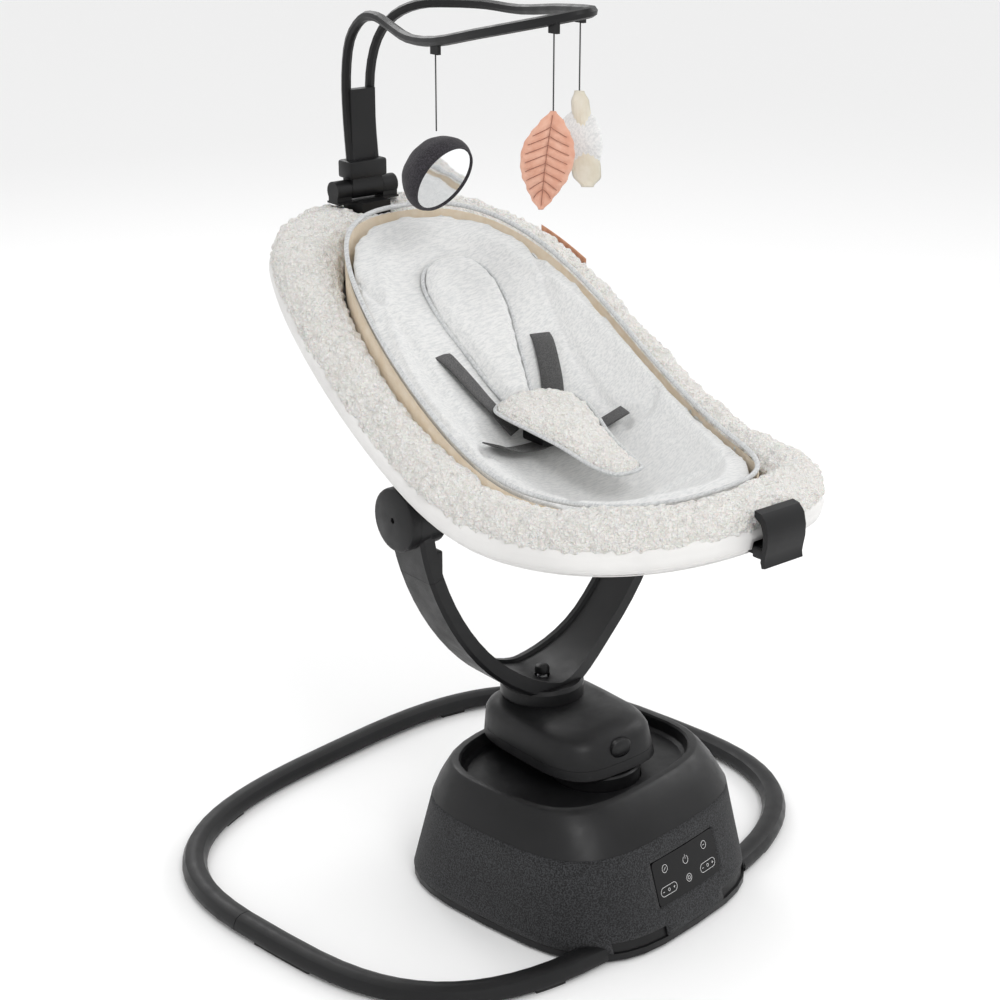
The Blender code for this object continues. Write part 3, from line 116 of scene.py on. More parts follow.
def smooth_step(part):
    part = min(1.0, max(0.0, part))
    return part * part * (3.0 - 2.0 * part)


def oval_point(half_x, half_y, centre_y, power, turn):
    """The point of a superellipse at a turn in radians from +X."""
    cos, sin = math.cos(turn), math.sin(turn)
    x = half_x * math.copysign(abs(cos) ** (2.0 / power), cos)
    y = half_y * math.copysign(abs(sin) ** (2.0 / power), sin)
    return x, centre_y + y


def smooth_path(points, per_span):
    """Points of the Catmull-Rom curve through the given points."""
    points = [Vector(point) for point in points]
    padded = [2 * points[0] - points[1], *points, 2 * points[-1] - points[-2]]
    path = []
    for before, start, end, after in zip(padded, padded[1:], padded[2:], padded[3:]):
        for step in range(per_span):
            t = step / per_span
            path.append(0.5 * (
                2 * start + (end - before) * t
                + (2 * before - 5 * start + 4 * end - after) * t * t
                + (3 * start - before - 3 * end + after) * t ** 3))
    path.append(points[-1])
    return path


def rim_height(y):
    rise = RIM_RISE * smooth_step((y - Y_LOW) / (Y_HEAD - Y_LOW))
    lift = FOOT_LIFT * max(0.0, (Y_LOW - y) / (Y_LOW - Y_FOOT)) ** 2
    return RIM_LOW + rise + lift


def rim_point(place, height, turn):
    """A point by its place from the outer outline (0) to the inner one (1), and past it to the middle (2)."""
    if place <= 1.0:
        half_x, half_y, centre = (lerp(o, i, place) for o, i in zip(RIM_OUTER, RIM_INNER))
    else:
        scale = 2.0 - place
        half_x, half_y = RIM_INNER[0] * scale, RIM_INNER[1] * scale
        centre = lerp(-0.020, RIM_INNER[2], scale)
    x, y = oval_point(half_x, half_y, centre, RIM_POWER, turn)
    lift = height(2.0 - place, y) if callable(height) else height
    return Vector((x, y, rim_height(y) + lift))


def rim_ring(place, height, steps=SEAT_STEPS):
    return [rim_point(place, height, 2.0 * math.pi * step / steps) for step in range(steps)]


def shell_depth(scale):
    return -SHELL_DROP - SHELL_DEPTH * (1.0 - scale ** 2.2)


def crest(y):
    return lerp(CREST_FOOT, CREST_HEAD, smooth_step((y + 0.265) / 0.5))


def below_crest(drop):
    return lambda scale, y: crest(y) - drop


def nest_height(scale, y):
    """Height over the rim of the cushion's hollow, which is deep under the hips."""
    floor = lerp(NEST_DEEP, NEST_SHALLOW, smooth_step(y / 0.18))
    return lerp(floor, crest(y), scale ** 2)


def nest_surface(x, y):
    """World height of the cushion's hollow over a point."""
    scale = 0.0
    for _ in range(8):
        centre = lerp(-0.020, RIM_INNER[2], scale)
        total = abs(x / RIM_INNER[0]) ** RIM_POWER + abs((y - centre) / RIM_INNER[1]) ** RIM_POWER
        scale = total ** (1.0 / RIM_POWER)
    return rim_height(y) + nest_height(scale, y)


def base_ring(z, inset, steps=120):
    part = (z - BASE_FOOT[0]) / (BASE_WAIST[0] - BASE_FOOT[0])
    half_x = lerp(BASE_FOOT[1], BASE_WAIST[1], part) - inset
    half_y = lerp(BASE_FOOT[2], BASE_WAIST[2], part) - inset
    turns = (2.0 * math.pi * step / steps for step in range(steps))
    return [Vector((*oval_point(half_x, half_y, BASE_Y, BASE_POWER, turn), z)) for turn in turns]


# ---------------------------------------------------------------- materials

class Finish:
    """A Principled material in the making, with short calls for the nodes that these finishes use."""

    def __init__(self, name, colour, roughness, **sockets):
        self.material = bpy.data.materials.new(name)
        self.material.use_nodes = True
        self.tree = self.material.node_tree
        self.shader = self.tree.nodes["Principled BSDF"]
        self.set(**{"Base Color": (*colour, 1.0), "Roughness": roughness}, **sockets)
        self.place = self.add("ShaderNodeTexCoord").outputs["Object"]

    def set(self, **sockets):
        for name, value in sockets.items():
            self.shader.inputs[name.replace("_", " ")].default_value = value

    def add(self, kind, **values):
        node = self.tree.nodes.new(kind)
        for name, value in values.items():
            setattr(node, name, value)
        return node

    def join(self, start, end):
        self.tree.links.new(start, end)

    def stretched(self, turn, scale):
        """The place on the object, turned and stretched, for threads that run one way."""
        mapping = self.add("ShaderNodeMapping")
        mapping.inputs["Rotation"].default_value = [math.radians(angle) for angle in turn]
        mapping.inputs["Scale"].default_value = scale
        self.join(self.place, mapping.inputs["Vector"])
        return mapping.outputs["Vector"]

    def noise(self, scale, detail=2.0, place=None):
        node = self.add("ShaderNodeTexNoise")
        node.inputs["Scale"].default_value = scale
        node.inputs["Detail"].default_value = detail
        self.join(place or self.place, node.inputs["Vector"])
        return node.outputs["Fac"]

    def cells(self, scale, place=None):
        node = self.add("ShaderNodeTexVoronoi")
        node.inputs["Scale"].default_value = scale
        self.join(place or self.place, node.inputs["Vector"])
        return node.outputs["Distance"]

    def waves(self, scale, direction, distortion=0.0, place=None):
        node = self.add("ShaderNodeTexWave", bands_direction=direction)
        node.inputs["Scale"].default_value = scale
        node.inputs["Distortion"].default_value = distortion
        self.join(place or self.place, node.inputs["Vector"])
        return node.outputs["Fac"]

    def math(self, operation, first, second):
        node = self.add("ShaderNodeMath", operation=operation)
        for socket, value in zip(node.inputs, (first, second)):
            if isinstance(value, (int, float)):
                socket.default_value = value
            else:
                self.join(value, socket)
        return node.outputs["Value"]

    def spread(self, factor, low, high, to_low=0.0, to_high=1.0):
        """The factor's stretch from low to high, mapped to another one."""
        node = self.add("ShaderNodeMapRange")
        for name, value in (("From Min", low), ("From Max", high), ("To Min", to_low), ("To Max", to_high)):
            node.inputs[name].default_value = value
        self.join(factor, node.inputs["Value"])
        return node.outputs["Result"]

    def blend_colour(self, factor, first, second):
        """Colour by factor from first to second, either of which may be a colour or a node's output."""
        node = self.add("ShaderNodeMix", data_type="RGBA")
        self.join(factor, node.inputs["Factor"])
        for socket, colour in zip((node.inputs[6], node.inputs[7]), (first, second)):
            if isinstance(colour, tuple):
                socket.default_value = (*colour, 1.0)
            else:
                self.join(colour, socket)
        return node.outputs[2]

    def colour(self, output):
        self.join(output, self.shader.inputs["Base Color"])
        return self

    def roughness(self, output):
        self.join(output, self.shader.inputs["Roughness"])
        return self

    def bump(self, height, distance, strength=1.0):
        """Adds relief of this depth in metres on top of what the material already has."""
        node = self.add("ShaderNodeBump")
        node.inputs["Distance"].default_value = distance
        node.inputs["Strength"].default_value = strength
        self.join(height, node.inputs["Height"])
        normal = self.shader.inputs["Normal"]
        if normal.is_linked:
            self.join(normal.links[0].from_socket, node.inputs["Normal"])
        self.join(node.outputs["Normal"], normal)
        return self


def moulded_plastic(name, colour, rough, grain=0.00006):
    """Satin moulded plastic: spark-eroded grain, faint cloudiness and a little handling wear."""
    finish = Finish(name, colour, rough, **{"Specular IOR Level": 0.28})
    cloud = finish.noise(9.0, 4.0)
    lighter = tuple(min(1.0, value * 1.5 + 0.003) for value in colour)
    finish.colour(finish.blend_colour(finish.spread(cloud, 0.35, 0.75), colour, lighter))
    finish.roughness(finish.spread(finish.noise(60.0, 5.0), 0.3, 0.7, rough - 0.06, rough + 0.08))
    return finish.bump(finish.noise(2600.0, 2.0), grain).material


def gloss_panel():
    finish = Finish("panel_gloss", (0.002, 0.002, 0.0025), 0.12, **{"Specular IOR Level": 0.22})
    finish.roughness(finish.spread(finish.noise(35.0, 6.0), 0.35, 0.75, 0.06, 0.16))
    return finish.material


def heather_knit(name, dark, light, scale=1.0, fuzz=0.3):
    """A marled knit: rows of small loops, with each yarn in one of two shades."""
    finish = Finish(name, light, 0.92, **{"Sheen Weight": fuzz, "Sheen Roughness": 0.5})
    loops = finish.cells(900.0 * scale, finish.stretched((0, 0, 0), (1.0, 1.0, 0.62)))
    yarn = finish.spread(finish.noise(620.0 * scale, 3.0), 0.40, 0.62)
    patch = finish.spread(finish.noise(14.0, 3.0), 0.3, 0.7, 0.75, 1.1)
    shade = finish.math("MULTIPLY", yarn, patch)
    finish.colour(finish.blend_colour(shade, dark, light))
    return finish.bump(loops, 0.00035).bump(finish.noise(1500.0, 2.0), 0.0001).material


def grey_jersey(name="heather_jersey", pale=(0.84, 0.84, 0.83), grey=(0.68, 0.69, 0.69)):
    """Off-white jersey with short grey streaks that run along its knit."""
    finish = Finish(name, pale, 0.93, **{"Sheen Weight": 0.25, "Sheen Roughness": 0.45})
    streaks = finish.noise(620.0, 3.0, finish.stretched((0, 0, 28), (0.16, 1.0, 0.6)))
    fine = finish.noise(1500.0, 2.0, finish.stretched((0, 0, 28), (0.3, 1.0, 0.5)))
    both = finish.math("ADD", finish.math("MULTIPLY", streaks, 0.7), finish.math("MULTIPLY", fine, 0.3))
    finish.colour(finish.blend_colour(finish.spread(both, 0.38, 0.58), grey, pale))
    ribs = finish.waves(700.0, "X", 1.5, finish.stretched((0, 0, 28), (1.0, 1.0, 1.0)))
    return finish.bump(ribs, 0.00015).bump(finish.noise(34.0, 3.0), 0.0016, 0.5).material


def boucle():
    """Looped pile: curls at two sizes over a soft undulation, with painted shade darkening the gaps between
    the curls.
    """
    finish = Finish("boucle_pile", (0.90, 0.88, 0.84), 0.97, **{
        "Sheen Weight": 0.35, "Sheen Roughness": 0.6, "Subsurface Weight": 0.08, "Subsurface Scale": 0.004})
    warp = finish.noise(110.0, 3.0)
    curls = finish.cells(270.0)
    small = finish.cells(640.0)
    both = finish.math("ADD", curls, finish.math("MULTIPLY", small, 0.5))
    shade = finish.math("ADD", both, finish.math("MULTIPLY", warp, 0.3))
    # painted shade: the colour darkens between the curls, where the relief is low; the soft undulation adds
    # random tone
    gap_shade_and_tone = finish.spread(shade, 0.45, 1.15)
    finish.colour(finish.blend_colour(gap_shade_and_tone, (0.94, 0.93, 0.905), (0.80, 0.775, 0.73)))
    lift = finish.math("SUBTRACT", 1.0, both)
    return finish.bump(lift, 0.0030).bump(finish.noise(1400.0, 3.0), 0.0005).material


def smooth_cloth():
    """Tight plain weave of the seat's underside, with soft pull lines."""
    finish = Finish("smooth_cloth", (0.84, 0.83, 0.815), 0.72, **{"Sheen Weight": 0.15})
    tone = finish.spread(finish.noise(12.0, 3.0), 0.3, 0.7)
    finish.colour(finish.blend_colour(tone, (0.76, 0.75, 0.735), (0.85, 0.84, 0.825)))
    weave = finish.math("ADD", finish.waves(900.0, "X"), finish.waves(900.0, "Y"))
    return finish.bump(weave, 0.00006).bump(finish.noise(16.0, 3.0), 0.0012, 0.35).material


def plain_weave(name, colour, second, scale=800.0, rough=0.88):
    """Woven cotton in two near shades."""
    finish = Finish(name, colour, rough, **{"Sheen Weight": 0.2})
    weave = finish.math("ADD", finish.waves(scale, "X", 0.6), finish.waves(scale, "Z", 0.6))
    tone = finish.spread(finish.noise(90.0, 5.0), 0.35, 0.65)
    finish.colour(finish.blend_colour(tone, colour, second))
    return finish.bump(weave, 0.00012).bump(finish.noise(140.0, 4.0), 0.0008, 0.4).material


def webbing():
    """Charcoal webbing: close diagonal ribs of thick yarn with paler fibres."""
    finish = Finish("webbing_weave", (0.05, 0.05, 0.052), 0.82, **{"Sheen Weight": 0.2})
    ribs = finish.waves(520.0, "DIAGONAL", 1.2)
    yarn = finish.spread(finish.noise(1300.0, 2.0), 0.42, 0.66)
    finish.colour(finish.blend_colour(yarn, (0.022, 0.022, 0.023), (0.115, 0.113, 0.112)))
    return finish.bump(ribs, 0.0003).material


def metal(name, colour, rough):
    finish = Finish(name, colour, rough, Metallic=1.0)
    marks = finish.noise(400.0, 3.0, finish.stretched((0, 0, 0), (1.0, 1.0, 0.05)))
    finish.roughness(finish.spread(marks, 0.3, 0.7, rough - 0.07, rough + 0.07))
    return finish.bump(marks, 0.00003).material


def mirror_glass():
    """Flexible plastic mirror, with the slight ripple that bends what it shows."""
    finish = Finish("mirror_film", (0.88, 0.89, 0.90), 0.04, Metallic=1.0)
    return finish.bump(finish.noise(26.0, 1.0), 0.0012, 0.3).material


def rubber():
    finish = Finish("rubber", (0.014, 0.014, 0.014), 0.85)
    return finish.bump(finish.noise(1800.0, 3.0), 0.00015).material


def wire_enamel():
    finish = Finish("wire_enamel", (0.60, 0.28, 0.12), 0.38, Metallic=1.0)
    return finish.bump(finish.waves(1400.0, "Z"), 0.0002).material


def board_green():
    finish = Finish("board_green", (0.02, 0.12, 0.05), 0.45)
    tracks = finish.spread(finish.cells(240.0), 0.48, 0.5)
    return finish.colour(finish.blend_colour(tracks, (0.02, 0.12, 0.05), (0.05, 0.22, 0.09))).material


def printed_ink():
    finish = Finish("printed_ink", (0.82, 0.82, 0.82), 0.55)
    return finish.bump(finish.noise(3000.0, 1.0), 0.00002).material


def thread(name, colour):
    finish = Finish(name, colour, 0.8, **{"Sheen Weight": 0.3})
    return finish.bump(finish.waves(2200.0, "DIAGONAL"), 0.0001).material


BLACK = moulded_plastic("satin_black", (0.005, 0.005, 0.0055), 0.38)
GREY_PLASTIC = moulded_plastic("moulded_grey", (0.30, 0.30, 0.31), 0.55)
PANEL = gloss_panel()
BASE_CLOTH = heather_knit("base_knit", (0.004, 0.004, 0.0045), (0.036, 0.037, 0.040), fuzz=0.05)
BALL_KNIT = heather_knit("ball_knit", (0.010, 0.009, 0.012), (0.040, 0.035, 0.043), 1.2, 0.08)
JERSEY = grey_jersey()
PIPING_JERSEY = grey_jersey("piping_jersey", (0.72, 0.73, 0.73), (0.52, 0.53, 0.54))
PILE = boucle()
COVER_CLOTH = smooth_cloth()
SIDE_BAND = plain_weave("side_band_cloth", (0.84, 0.70, 0.52), (0.90, 0.78, 0.62), 700.0)
PEACH = plain_weave("peach_cotton_cloth", (0.72, 0.36, 0.25), (0.80, 0.46, 0.34), 600.0)
CREAM = plain_weave("cream_knit", (0.80, 0.74, 0.60), (0.86, 0.81, 0.69), 900.0)
TAG = plain_weave("copper_weave", (0.60, 0.27, 0.15), (0.70, 0.36, 0.22), 1100.0)
WEBBING = webbing()
STEEL = metal("plated_steel", (0.56, 0.56, 0.57), 0.32)
TUBE_METAL = metal("satin_tube", (0.35, 0.35, 0.36), 0.40)
MIRROR = mirror_glass()
RUBBER = rubber()
INK = printed_ink()
VEIN_THREAD = thread("vein_thread", (0.36, 0.13, 0.08))
STRING_CORD = thread("string_cord", (0.025, 0.025, 0.027))

NODE_FINISHES = {
    "black_plastic": BLACK, "gloss_black": PANEL, "black_rubber": RUBBER, "steel": STEEL,
    "copper_wire": wire_enamel(), "green_board": board_green(), "grey_tube": TUBE_METAL,
    "grey_plastic": GREY_PLASTIC, "mirror_face": MIRROR,
}


def finish_cad_nodes():
    """Gives every CAD node that stays in view its material, with smooth shading over its curved faces."""
    for part in frame["record"]["subparts"]:
        made = NODE_FINISHES.get(part["material_slot"])
        obj = NODES[part["node"]]
        if made is None:
            continue
        for slot in obj.material_slots:
            slot.material = made
        if not obj.material_slots:
            obj.data.materials.append(made)
        weld = obj.modifiers.new("weld", "WELD")
        weld.merge_threshold = 0.00001
        obj.data.shade_smooth()
        angle = obj.modifiers.new("edges", "EDGE_SPLIT")
        angle.split_angle = math.radians(32.0)


# ---------------------------------------------------------------- mesh helpers

def new_piece(name, points, faces, finish):
    mesh = bpy.data.meshes.new(name)
    mesh.from_pydata([tuple(point) for point in points], [], faces)
    shape = bmesh.new()
    shape.from_mesh(mesh)
    bmesh.ops.recalc_face_normals(shape, faces=shape.faces)
    shape.to_mesh(mesh)
    shape.free()
    mesh.shade_smooth()
    mesh.materials.append(finish)
    obj = bpy.data.objects.new(name, mesh)
    bpy.context.scene.collection.objects.link(obj)
    return obj


def loft(name, rings, finish, ends="caps"):
    """Lofts through closed rings. ends is caps, poles (a fan about each middle), loop or open."""
    count = len(rings[0])
    points = [point for ring in rings for point in ring]
    pairs = [(row, row + 1) for row in range(len(rings) - 1)]
    if ends == "loop":
        pairs.append((len(rings) - 1, 0))
    faces = []
    for low, high in pairs:
        for i in range(count):
            j = (i + 1) % count
            faces.append((low * count + i, low * count + j, high * count + j, high * count + i))
    last = (len(rings) - 1) * count
    if ends == "caps":
        faces += [tuple(range(count)), tuple(range(last, last + count))]
    if ends == "poles":
        for start in (0, last):
            pole = len(points)
            points.append(sum((Vector(p) for p in points[start:start + count]), Vector()) / count)
            faces += [(start + i, start + (i + 1) % count, pole) for i in range(count)]
    return new_piece(name, points, faces, finish)


def tube(name, path, radius, finish, cyclic=False, sides=8):
    """A round cord or piping as a mesh along a path."""
    path = [Vector(point) for point in path]
    count = len(path)
    rings = []
    side = None
    for i, point in enumerate(path):
        after = path[(i + 1) % count] if cyclic else path[min(i + 1, count - 1)]
        before = path[i - 1] if cyclic or i else path[0]
        along = (after - before).normalized()
        if side is None:
            side = along.orthogonal().normalized()
        side = (side - along * side.dot(along)).normalized()
        up = along.cross(side)
        turns = (2.0 * math.pi * step / sides for step in range(sides))
        rings.append([point + (side * math.cos(t) + up * math.sin(t)) * radius for t in turns])
    return loft(name, rings, finish, "loop" if cyclic else "caps")


def joined(name, pieces):
    """One piece made of several."""
    shape = bmesh.new()
    materials = []
    for piece in pieces:
        mesh = piece.data
        index = len(materials)
        materials.append(mesh.materials[0])
        before = len(shape.faces)
        shape.from_mesh(mesh)
        shape.faces.ensure_lookup_table()
        for face in shape.faces[before:]:
            face.material_index = index
        bpy.data.objects.remove(piece)
    mesh = bpy.data.meshes.new(name)
    shape.to_mesh(mesh)
    shape.free()
    for material in materials:
        mesh.materials.append(material)
    obj = bpy.data.objects.new(name, mesh)
    bpy.context.scene.collection.objects.link(obj)
    return obj


def settle(obj, body, slot, *replaced, turn=True):
    """Turns a finished piece with the column, and hands it to its body."""
    if turn:
        obj.data.transform(SEAT_TURN)
    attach(obj, body)
    if replaced:
        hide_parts(*replaced)
    return obj


def evaluated_points(obj):
    graph = bpy.context.evaluated_depsgraph_get()
    mesh = obj.evaluated_get(graph).to_mesh()
    points = np.empty(len(mesh.vertices) * 3, np.float32)
    mesh.vertices.foreach_get("co", points)
    obj.evaluated_get(graph).to_mesh_clear()
    return points.reshape(-1, 3).astype(np.float64)


def mesh_points(obj):
    points = np.empty(len(obj.data.vertices) * 3, np.float32)
    obj.data.vertices.foreach_get("co", points)
    return points.reshape(-1, 3).astype(np.float64)


def mesh_normals(obj):
    normals = np.empty(len(obj.data.vertices) * 3, np.float32)
    obj.data.vertices.foreach_get("normal", normals)
    return normals.reshape(-1, 3).astype(np.float64)


def set_points(obj, points):
    obj.data.vertices.foreach_set("co", points.astype(np.float32).ravel())
    obj.data.update()


def apply_modifiers(obj):
    """Bakes the modifiers into the mesh."""
    graph = bpy.context.evaluated_depsgraph_get()
    mesh = bpy.data.meshes.new_from_object(obj.evaluated_get(graph), depsgraph=graph)
    obj.modifiers.clear()
    old = obj.data
    obj.data = mesh
    bpy.data.meshes.remove(old)
    mesh.shade_smooth()
    return obj


def carve(obj, low, high):
    """Cuts a box out of a piece."""
    low, high = Vector(low), Vector(high)
    corners = [(x, y, z) for x in (low.x, high.x) for y in (low.y, high.y) for z in (low.z, high.z)]
    sides = [(0, 1, 3, 2), (4, 6, 7, 5), (0, 4, 5, 1), (2, 3, 7, 6), (0, 2, 6, 4), (1, 5, 7, 3)]
    cutter = new_piece("cutter", corners, sides, BLACK)
    boolean = obj.modifiers.new("cut", "BOOLEAN")
    boolean.operation = "DIFFERENCE"
    boolean.solver = "EXACT"
    boolean.object = cutter
    apply_modifiers(obj)
    bpy.data.objects.remove(cutter)
    return obj


def plump(obj, voxel, cap, pressure=4.0, settle_under=0.0, subdivide=True):
    """Swells a closed mesh with the cloth solver, capped, and holds what faces down where it was."""
    remesh = obj.modifiers.new("remesh", "REMESH")
    remesh.mode = "VOXEL"
    remesh.voxel_size = voxel
    apply_modifiers(obj)
    rest, normals = mesh_points(obj), mesh_normals(obj)
    cloth = obj.modifiers.new("cloth", "CLOTH")
    cloth.settings.use_pressure = True
    cloth.settings.uniform_pressure_force = pressure
    cloth.settings.effector_weights.gravity = 0.0
    cloth.settings.quality = 4
    cloth.point_cache.frame_end = CLOTH_FRAMES
    scene = bpy.context.scene
    for step in range(1, CLOTH_FRAMES + 1):
        scene.frame_set(step)
    moved = evaluated_points(obj) - rest
    obj.modifiers.clear()
    scene.frame_set(1)
    length = np.linalg.norm(moved, axis=1, keepdims=True)
    moved *= np.minimum(1.0, cap / np.maximum(length, 1e-9))
    hold = np.clip((normals[:, 2:3] + settle_under) / 0.3, 0.0, 1.0)
    set_points(obj, rest + moved * hold)
    if subdivide:
        smooth = obj.modifiers.new("smooth", "SMOOTH")
        smooth.iterations = 4
        fine = obj.modifiers.new("fine", "SUBSURF")
        fine.levels = 1
        apply_modifiers(obj)
    obj.data.shade_smooth()
    return obj


def groove(obj, path, depth, width):
    """Presses a sewn line into what faces up, along a path seen from above."""
    points, normals = mesh_points(obj), mesh_normals(obj)
    path = np.array([tuple(point)[:2] for point in path])
    nearest = np.full(len(points), np.inf)
    for start, end in zip(path, path[1:]):
        along = end - start
        part = np.clip(((points[:, :2] - start) @ along) / max(along @ along, 1e-12), 0.0, 1.0)
        away = points[:, :2] - (start + part[:, None] * along)
        nearest = np.minimum(nearest, np.linalg.norm(away, axis=1))
    press = np.clip(1.0 - (nearest / width) ** 2, 0.0, 1.0) ** 2 * depth * (normals[:, 2] > 0.1)
    set_points(obj, points - normals * press[:, None])


def rumple(obj, depth, size, seed=0.0, stretch=(1.0, 1.0, 1.0), up_only=False):
    """Moves the surface in and out by smooth noise: soft folds when it is large, pile when it is small."""
    points, normals = mesh_points(obj), mesh_normals(obj)
    scale = Vector(stretch) / size
    shift = Vector((seed, seed, seed))
    amounts = np.array([noise.noise(Vector((p[0] * scale.x, p[1] * scale.y, p[2] * scale.z)) + shift)
                        for p in points])
    if up_only:
        amounts *= np.clip(normals[:, 2] + 0.2, 0.0, 1.0)
    set_points(obj, points + normals * (amounts * depth)[:, None])


# ---------------------------------------------------------------- camera, light and floor

def place_camera():
    camera = bpy.data.objects.new("camera", bpy.data.cameras.new("camera"))
    camera.data.lens = CAMERA_LENS
    camera.data.clip_start = 0.05
    camera.location = CAMERA_PLACE
    azimuth, elevation = math.radians(CAMERA_AZIMUTH), math.radians(CAMERA_ELEVATION)
    flat = math.cos(elevation)
    facing = Vector((-math.sin(azimuth) * flat, math.cos(azimuth) * flat, -math.sin(elevation)))
    camera.rotation_euler = facing.to_track_quat("-Z", "Y").to_euler()
    bpy.context.scene.collection.objects.link(camera)
    bpy.context.scene.camera = camera


def area_light(name, place, target, size, power):
    light = bpy.data.lights.new(name, "AREA")
    light.shape = "DISK"
    light.size = size
    light.energy = power
    obj = bpy.data.objects.new(name, light)
    obj.location = place
    obj.rotation_euler = (Vector(target) - Vector(place)).to_track_quat("-Z", "Y").to_euler()
    bpy.context.scene.collection.objects.link(obj)


def make_studio():
    world = bpy.data.worlds.new("studio")
    world.use_nodes = True
    world.node_tree.nodes["Background"].inputs["Color"].default_value = (1.0, 1.0, 1.0, 1.0)
    world.node_tree.nodes["Background"].inputs["Strength"].default_value = 0.92
    bpy.context.scene.world = world
    bpy.context.scene.view_settings.view_transform = "Standard"
    middle = (0.0, 0.0, 0.5)
    area_light("key_light", (-1.2, -2.4, 2.9), middle, 1.2, 34.0)
    area_light("side_light", (2.6, -0.8, 1.9), middle, 1.2, 16.0)
    area_light("rear_light", (1.0, 2.6, 2.4), middle, 1.2, 16.0)
    finish = Finish("floor_paint", (0.93, 0.93, 0.93), 0.75)
    finish.bump(finish.noise(40.0, 4.0), 0.0003)
    side = 30.0
    corners = [(-side, -side, -0.0002), (side, -side, -0.0002), (side, side, -0.0002), (-side, side, -0.0002)]
    floor = new_piece("floor", corners, [(0, 1, 2, 3)], finish.material)


# ---------------------------------------------------------------- cords

def hang_strings():
    """The three toy strings, straight down from the toy bar under their toys' weight."""
    for toy, (top, length) in STRINGS.items():
        start = SEAT_TURN @ Vector(top)
        steps = 18
        curve = bpy.data.curves.new(f"{toy}_cord", "CURVE")
        curve.dimensions = "3D"
        curve.bevel_depth = STRING_RADIUS
        curve.bevel_resolution = 3
        curve.use_fill_caps = True
        spline = curve.splines.new("POLY")
        spline.points.add(steps)
        for step, point in enumerate(spline.points):
            point.co = (*(start - Vector((0.0, 0.0, length * step / steps))), 1.0)
        curve.materials.append(STRING_CORD)
        cord = bpy.data.objects.new(f"{toy}_cord", curve)
        bpy.context.scene.collection.objects.link(cord)
        settle(cord, f"{toy}_string", "webbing", f"{toy}_string", turn=False)


# ---------------------------------------------------------------- base

def front_of(node):
    """A function that gives the point of the node's front face at an x and a height."""
    obj = NODES[node]
    tree = BVHTree.FromPolygons([vert.co for vert in obj.data.vertices],
                                [tuple(face.vertices) for face in obj.data.polygons])

    def find(x, z, lift=0.00015):
        place, normal, _, _ = tree.ray_cast(Vector((x, -1.0, z)), Vector((0.0, 1.0, 0.0)))
        return place + normal.normalized() * lift if place else Vector((x, BASE_Y - BASE_FOOT[2], z))
    return find


def arc(x, z, radius, start, end, steps=28):
    turns = (math.radians(lerp(start, end, step / steps)) for step in range(steps + 1))
    return [(x + radius * math.cos(t), z + radius * math.sin(t)) for t in turns]


def pill(x, z, half, radius):
    return [*arc(x + half, z, radius, -90, 90, 14), *arc(x - half, z, radius, 90, 270, 14),
            (x + half, z - radius)]


def panel_strokes():
    """Plain icons: power in the middle, round buttons in the corners, and two minus-plus pairs."""
    high, low, side = 0.0805, 0.0575, 0.0345
    strokes = [arc(0.0, high - 0.003, 0.0042, 120, 420), [(0.0, high - 0.002), (0.0, high + 0.0025)]]
    for x in (-side, side):
        strokes.append(arc(x, high, 0.0042, 0, 360))
        strokes.append(pill(x, low, 0.0085, 0.0048))
        strokes.append([(x - 0.0102, low), (x - 0.0074, low)])
        strokes.append([(x + 0.0074, low), (x + 0.0102, low)])
        strokes.append([(x + 0.0088, low - 0.0014), (x + 0.0088, low + 0.0014)])
        strokes.append(arc(x, low, 0.0016, 0, 360, 12))
    strokes.append([(-side - 0.0018, high - 0.0014), (-side + 0.0018, high + 0.0014)])
    strokes.append([(side - 0.0016, high), (side + 0.0016, high)])
    strokes.append(arc(0.0, low, 0.0042, 0, 360))
    strokes.append(arc(0.0, low, 0.0018, 0, 360, 14))
    return strokes


def make_panel_icons():
    find = front_of("control_panel")
    pieces = []
    for stroke in panel_strokes():
        path = [find(x, z) for x, z in stroke]
        pieces.append(tube("stroke", path, 0.00022, INK, sides=6))
    settle(joined("panel_icons", pieces), "base", "gloss_black", turn=False)


def make_base_cloth():
    """The knit stretched round the base, with a turned edge round the panel window."""
    heights = [lerp(BASE_FOOT[0], BASE_WAIST[0], step / 12) for step in range(13)]
    outside = [base_ring(z, 0.0) for z in heights]
    inside = [base_ring(z, CLOTH_THICK) for z in reversed(heights)]
    cloth = loft("base_cloth", outside + inside, BASE_CLOTH, "loop")
    front = BASE_Y - BASE_FOOT[2] - 0.01
    carve(cloth, (-PANEL_HALF, front, PANEL_LOW), (PANEL_HALF, BASE_Y - 0.1, PANEL_HIGH))
    back = BASE_Y + BASE_FOOT[2]
    carve(cloth, (INLET[0] - 0.0085, back - 0.05, INLET[1] - 0.0085),
          (INLET[0] + 0.0085, back + 0.01, INLET[1] + 0.0085))
    for x in (-1, 1):
        low, high = sorted((x * 0.050, x * 0.118))
        carve(cloth, (low, front, -0.01), (high, front + 0.08, 0.0235))
    settle(cloth, "base", "base_fabric", "speaker_fabric", turn=False)


# ---------------------------------------------------------------- seat

# Sewn lines of the insert on its right side, as (x, y) over the nest; the left side mirrors them
SEAMS = (
    ((0.128, 0.170), (0.108, 0.120), (0.096, 0.060), (0.092, 0.020), (0.094, -0.030)),
    ((0.098, -0.020), (0.118, -0.036), (0.140, -0.030)),
    ((0.030, -0.145), (0.062, -0.150), (0.092, -0.168), (0.120, -0.172)),
)


